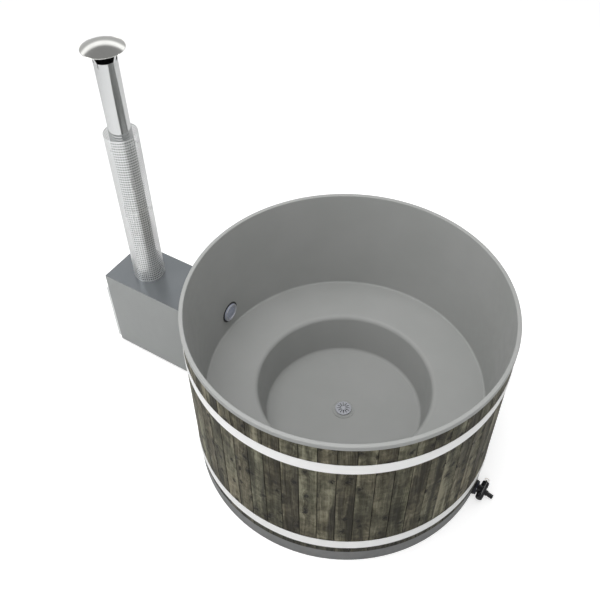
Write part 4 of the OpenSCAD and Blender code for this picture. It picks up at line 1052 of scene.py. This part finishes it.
def cap_straps():
    """Bent straps from the pipe's top to the underside of the cap, riveted to the pipe."""
    foot_r = PIPE_R + STRAP_CLEAR
    under_r = CAP_BALL_R - CAP_T - STRAP_CLEAR
    top_z = CAP_CENTRE_Z + math.sqrt(under_r ** 2 - (STRAP_TOP_R + STRAP_T) ** 2)
    line = [Vector(point) for point in (
        (foot_r, PIPE_Z1 - STRAP_LAP), (foot_r, PIPE_Z1),
        (STRAP_TOP_R, top_z - STRAP_LAP / 2), (STRAP_TOP_R, top_z))]
    path = [line[0]]
    for i in (1, 2):
        u = (line[i - 1] - line[i]).normalized() * STRAP_BEND
        v = (line[i + 1] - line[i]).normalized() * STRAP_BEND
        for k in range(STRAP_BEND_STEPS + 1):
            t = k / STRAP_BEND_STEPS
            path.append(line[i] + u * (1 - t) ** 2 + v * t ** 2)
    path.append(line[3])
    vertices, faces, heads = [], [], []
    n = len(STRAP_SECTION)
    for i in range(STRAP_N):
        turn = Matrix.Translation((FLUE_X, 0, 0)) @ Matrix.Rotation(2 * math.pi * i / STRAP_N, 4, "Z")
        base = len(vertices)
        for j, point in enumerate(path):
            along = (path[min(j + 1, len(path) - 1)] - path[max(j - 1, 0)]).normalized()
            side = Vector((along.y, -along.x))
            for w, t in STRAP_SECTION:
                spot = point + side * STRAP_T * (t + 0.5)
                vertices.append(tuple(turn @ Vector((spot.x, w * STRAP_W, spot.y))))
        for j in range(len(path) - 1):
            a, b = base + j * n, base + (j + 1) * n
            faces += [(a + k, a + (k + 1) % n, b + (k + 1) % n, b + k) for k in range(n)]
        faces.append(tuple(base + k for k in reversed(range(n))))
        faces.append(tuple(base + (len(path) - 1) * n + k for k in range(n)))
        for share in RIVET_SHARES:
            spot = turn @ Vector((foot_r + STRAP_T, 0, PIPE_Z1 - STRAP_LAP * share))
            heads.append((spot, turn.to_3x3() @ Vector((1, 0, 0))))
    obj = piece("strap_bands", vertices, faces, finish_of("cap_straps"),
                replaces=["cap_straps"])
    sharpen(obj, FOLDED_SHARP)
    heads_on("strap_rivets", heads, RIVET_R, RIVET_H)


def front_rim():
    """Folded rim that stands round the heater's front plate."""
    half_in, low_in, high_in = FRONT_INNER
    half_out, low_out, high_out = FRONT_OUTER
    bevel = FRONT_BEVEL
    rise_x = FRONT_X1 + bevel
    loops = [
        (half_out, low_out, high_out, FRONT_X0), (half_out, low_out, high_out, rise_x),
        (half_out - bevel, low_out + bevel, high_out - bevel, FRONT_X1),
        (half_in + bevel, low_in - bevel, high_in + bevel, FRONT_X1),
        (half_in, low_in, high_in, rise_x), (half_in, low_in, high_in, FRONT_X0)]
    vertices = []
    for half, low, high, x in loops:
        corners = [(-half, low), (half, low), (half, high), (-half, high)]
        loop = rounded([(*corner, FRONT_ROUND) for corner in corners], steps=5)
        vertices += [(x, y, z) for y, z in loop]
    n = len(vertices) // len(loops)
    faces = []
    for row in range(len(loops)):
        a, b = row * n, (row + 1) % len(loops) * n
        faces += [(a + k, a + (k + 1) % n, b + (k + 1) % n, b + k) for k in range(n)]
    obj = piece("front_rim", vertices, faces, RIM_STEEL)
    bm = bmesh.new()
    bm.from_mesh(obj.data)
    bmesh.ops.recalc_face_normals(bm, faces=bm.faces)
    bm.to_mesh(obj.data)
    bm.free()
    sharpen(obj, FOLDED_SHARP)


# Widths of the eased edges of nodes that keep their CAD shape
EASED = {
    "upper_hoop": 0.0006, "lower_hoop": 0.0006, "hoop_bolts": 0.0005, "hoop_nuts": 0.0005,
    "base_ring": 0.0015, "base_plate": 0.001, "drain_body": 0.001, "port_body": 0.0012,
    "port_gasket": 0.0004, "upper_sleeve": 0.0012, "lower_sleeve": 0.0012, "tap_gasket": 0.0005,
    "tap_body": 0.0012, "tap_end_cap": 0.002, "tap_hose_tail": 0.0008, "heater_casing": 0.0006,
    "heater_lid": 0.0008, "heater_feet": 0.001, "front_frame": 0.001, "fire_door": 0.0012,
    "ash_drawer": 0.0008, "latch_spindle": 0.0008, "drawer_pull": 0.0008, "air_slide": 0.0005,
    "fire_grate": 0.0015, "smoke_baffle": 0.001, "flue_collar": 0.0006, "firebox_rails": 0.0008}


def eased_nodes():
    for node, width in EASED.items():
        eased(node, width)


def lamp(name, place, target, size, power, glossy=True, sparkle=False):
    """Round lamp that the camera doesn't see. One with a sparkle is only seen in glossy surfaces."""
    light = bpy.data.lights.new(name, "AREA")
    light.shape = "DISK"
    light.size = size
    light.energy = power
    obj = bpy.data.objects.new(name, light)
    obj.location = place
    obj.rotation_euler = (Vector(place) - Vector(target)).to_track_quat("Z", "Y").to_euler()
    obj.visible_glossy = glossy
    obj.visible_diffuse = not sparkle
    obj.visible_camera = False
    bpy.context.scene.collection.objects.link(obj)


def studio_floor():
    """Pale floor that takes the object's shadow. It glows, so that the camera sees it as white."""
    mesh = bpy.data.meshes.new("floor")
    corners = [(x * FLOOR_REACH, y * FLOOR_REACH, 0) for x, y in ((-1, -1), (1, -1), (1, 1), (-1, 1))]
    mesh.from_pydata(corners, [], [(0, 1, 2, 3)])
    obj = bpy.data.objects.new("floor", mesh)
    obj.location.z = -FLOOR_BELOW
    bpy.context.scene.collection.objects.link(obj)
    f = Finish("floor", Roughness=0.9)
    f.shader.inputs["Base Color"].default_value = (FLOOR_TONE, FLOOR_TONE, FLOOR_TONE, 1.0)
    f.shader.inputs["Specular IOR Level"].default_value = 0.0
    path = f.add("ShaderNodeLightPath").outputs
    mirrored = f.math("MAXIMUM", path["Is Glossy Ray"], path["Is Transmission Ray"])
    glow = f.add("ShaderNodeEmission")
    strength = f.math("ADD", f.math("MULTIPLY", path["Is Camera Ray"], FLOOR_GLOW),
                      f.math("MULTIPLY", mirrored, FLOOR_MIRRORED_GLOW))
    f.join(strength, glow.inputs["Strength"])
    both = f.add("ShaderNodeAddShader")
    f.join(f.shader.outputs["BSDF"], both.inputs[0])
    f.join(glow.outputs[0], both.inputs[1])
    f.join(both.outputs[0], f.out.inputs["Surface"])
    mesh.materials.append(f.material)


def studio_world():
    """White surroundings, with light from all round.

    Glossy surfaces show a room with a dim ceiling and two long lit panels instead.
    """
    world = bpy.data.worlds.new("studio")
    bpy.context.scene.world = world
    world.use_nodes = True
    w = Nodes(world.node_tree)
    path = w.add("ShaderNodeLightPath").outputs
    x, y, height = w.split(w.places.outputs["Generated"])
    turn = math.radians(PANEL_TURN)
    ahead = w.math("ADD", w.math("MULTIPLY", x, math.cos(turn)), w.math("MULTIPLY", y, math.sin(turn)))
    aside = w.math("SUBTRACT", w.math("MULTIPLY", y, math.cos(turn)), w.math("MULTIPLY", x, math.sin(turn)))
    depth = w.math("MAXIMUM", w.math("ABSOLUTE", ahead), LEAST_DEPTH)
    rise = w.math("DIVIDE", height, depth)
    spread = w.math("DIVIDE", w.math("ABSOLUTE", aside), depth)
    panel = w.math("MULTIPLY", w.span(rise, *PANEL_FOOT), w.span(rise, *PANEL_HEAD))
    panel = w.math("MULTIPLY", panel, w.span(spread, *PANEL_ENDS, 0.0, PANEL_GLOW))
    room = w.math("ADD", w.span(height, *ROOM_RANGE, HORIZON_GLOW, CEILING_GLOW), panel)
    mirrored = w.math("MAXIMUM", path["Is Glossy Ray"], path["Is Transmission Ray"])
    back = w.add("ShaderNodeBackground")
    level = w.mix(mirrored, (WORLD_LIGHT,) * 3, w.joined(room, room, room))
    w.join(w.mix(path["Is Camera Ray"], level, (1.0, 1.0, 1.0)), back.inputs["Color"])
    w.join(back.outputs[0], w.add("ShaderNodeOutputWorld").inputs["Surface"])


def studio():
    """Lamps and the camera."""
    scene = bpy.context.scene
    lamp("top", place=(-0.6, -0.5, 5.2), target=(0.0, 0.0, 0.4), size=5.0, power=175.0, glossy=False)
    lamp("key", place=(-3.4, -2.6, 3.6), target=(0.0, 0.0, 0.5), size=2.6, power=45.0)
    lamp("fill", place=(1.8, -4.2, 4.2), target=(0.0, 0.0, 0.5), size=3.0, power=55.0, glossy=False)
    lamp("sparkle", place=(2.9, 2.35, 3.35), target=(0.95, 0.0, 0.05), size=0.9, power=26.0, sparkle=True)

    lens = bpy.data.cameras.new("camera")
    lens.sensor_width = CAMERA_SENSOR
    lens.lens = CAMERA_LENS
    lens.shift_x, lens.shift_y = CAMERA_SHIFT
    lens.clip_end = CAMERA_REACH
    camera = bpy.data.objects.new("camera", lens)
    camera.location = CAMERA_PLACE
    camera.rotation_euler = [math.radians(a) for a in CAMERA_TURN]
    scene.collection.objects.link(camera)
    scene.camera = camera
    scene.view_settings.view_transform = "Standard"


tub_liner()
port_pad()
wall_boards()
heat_shield()
smoke_pipe()
rain_cap()
cap_straps()
port_cover()
drain_dome()
drain_rings()
tap_clamp()
tap_collars()
front_rim()
eased_nodes()
studio_floor()
studio_world()
studio()
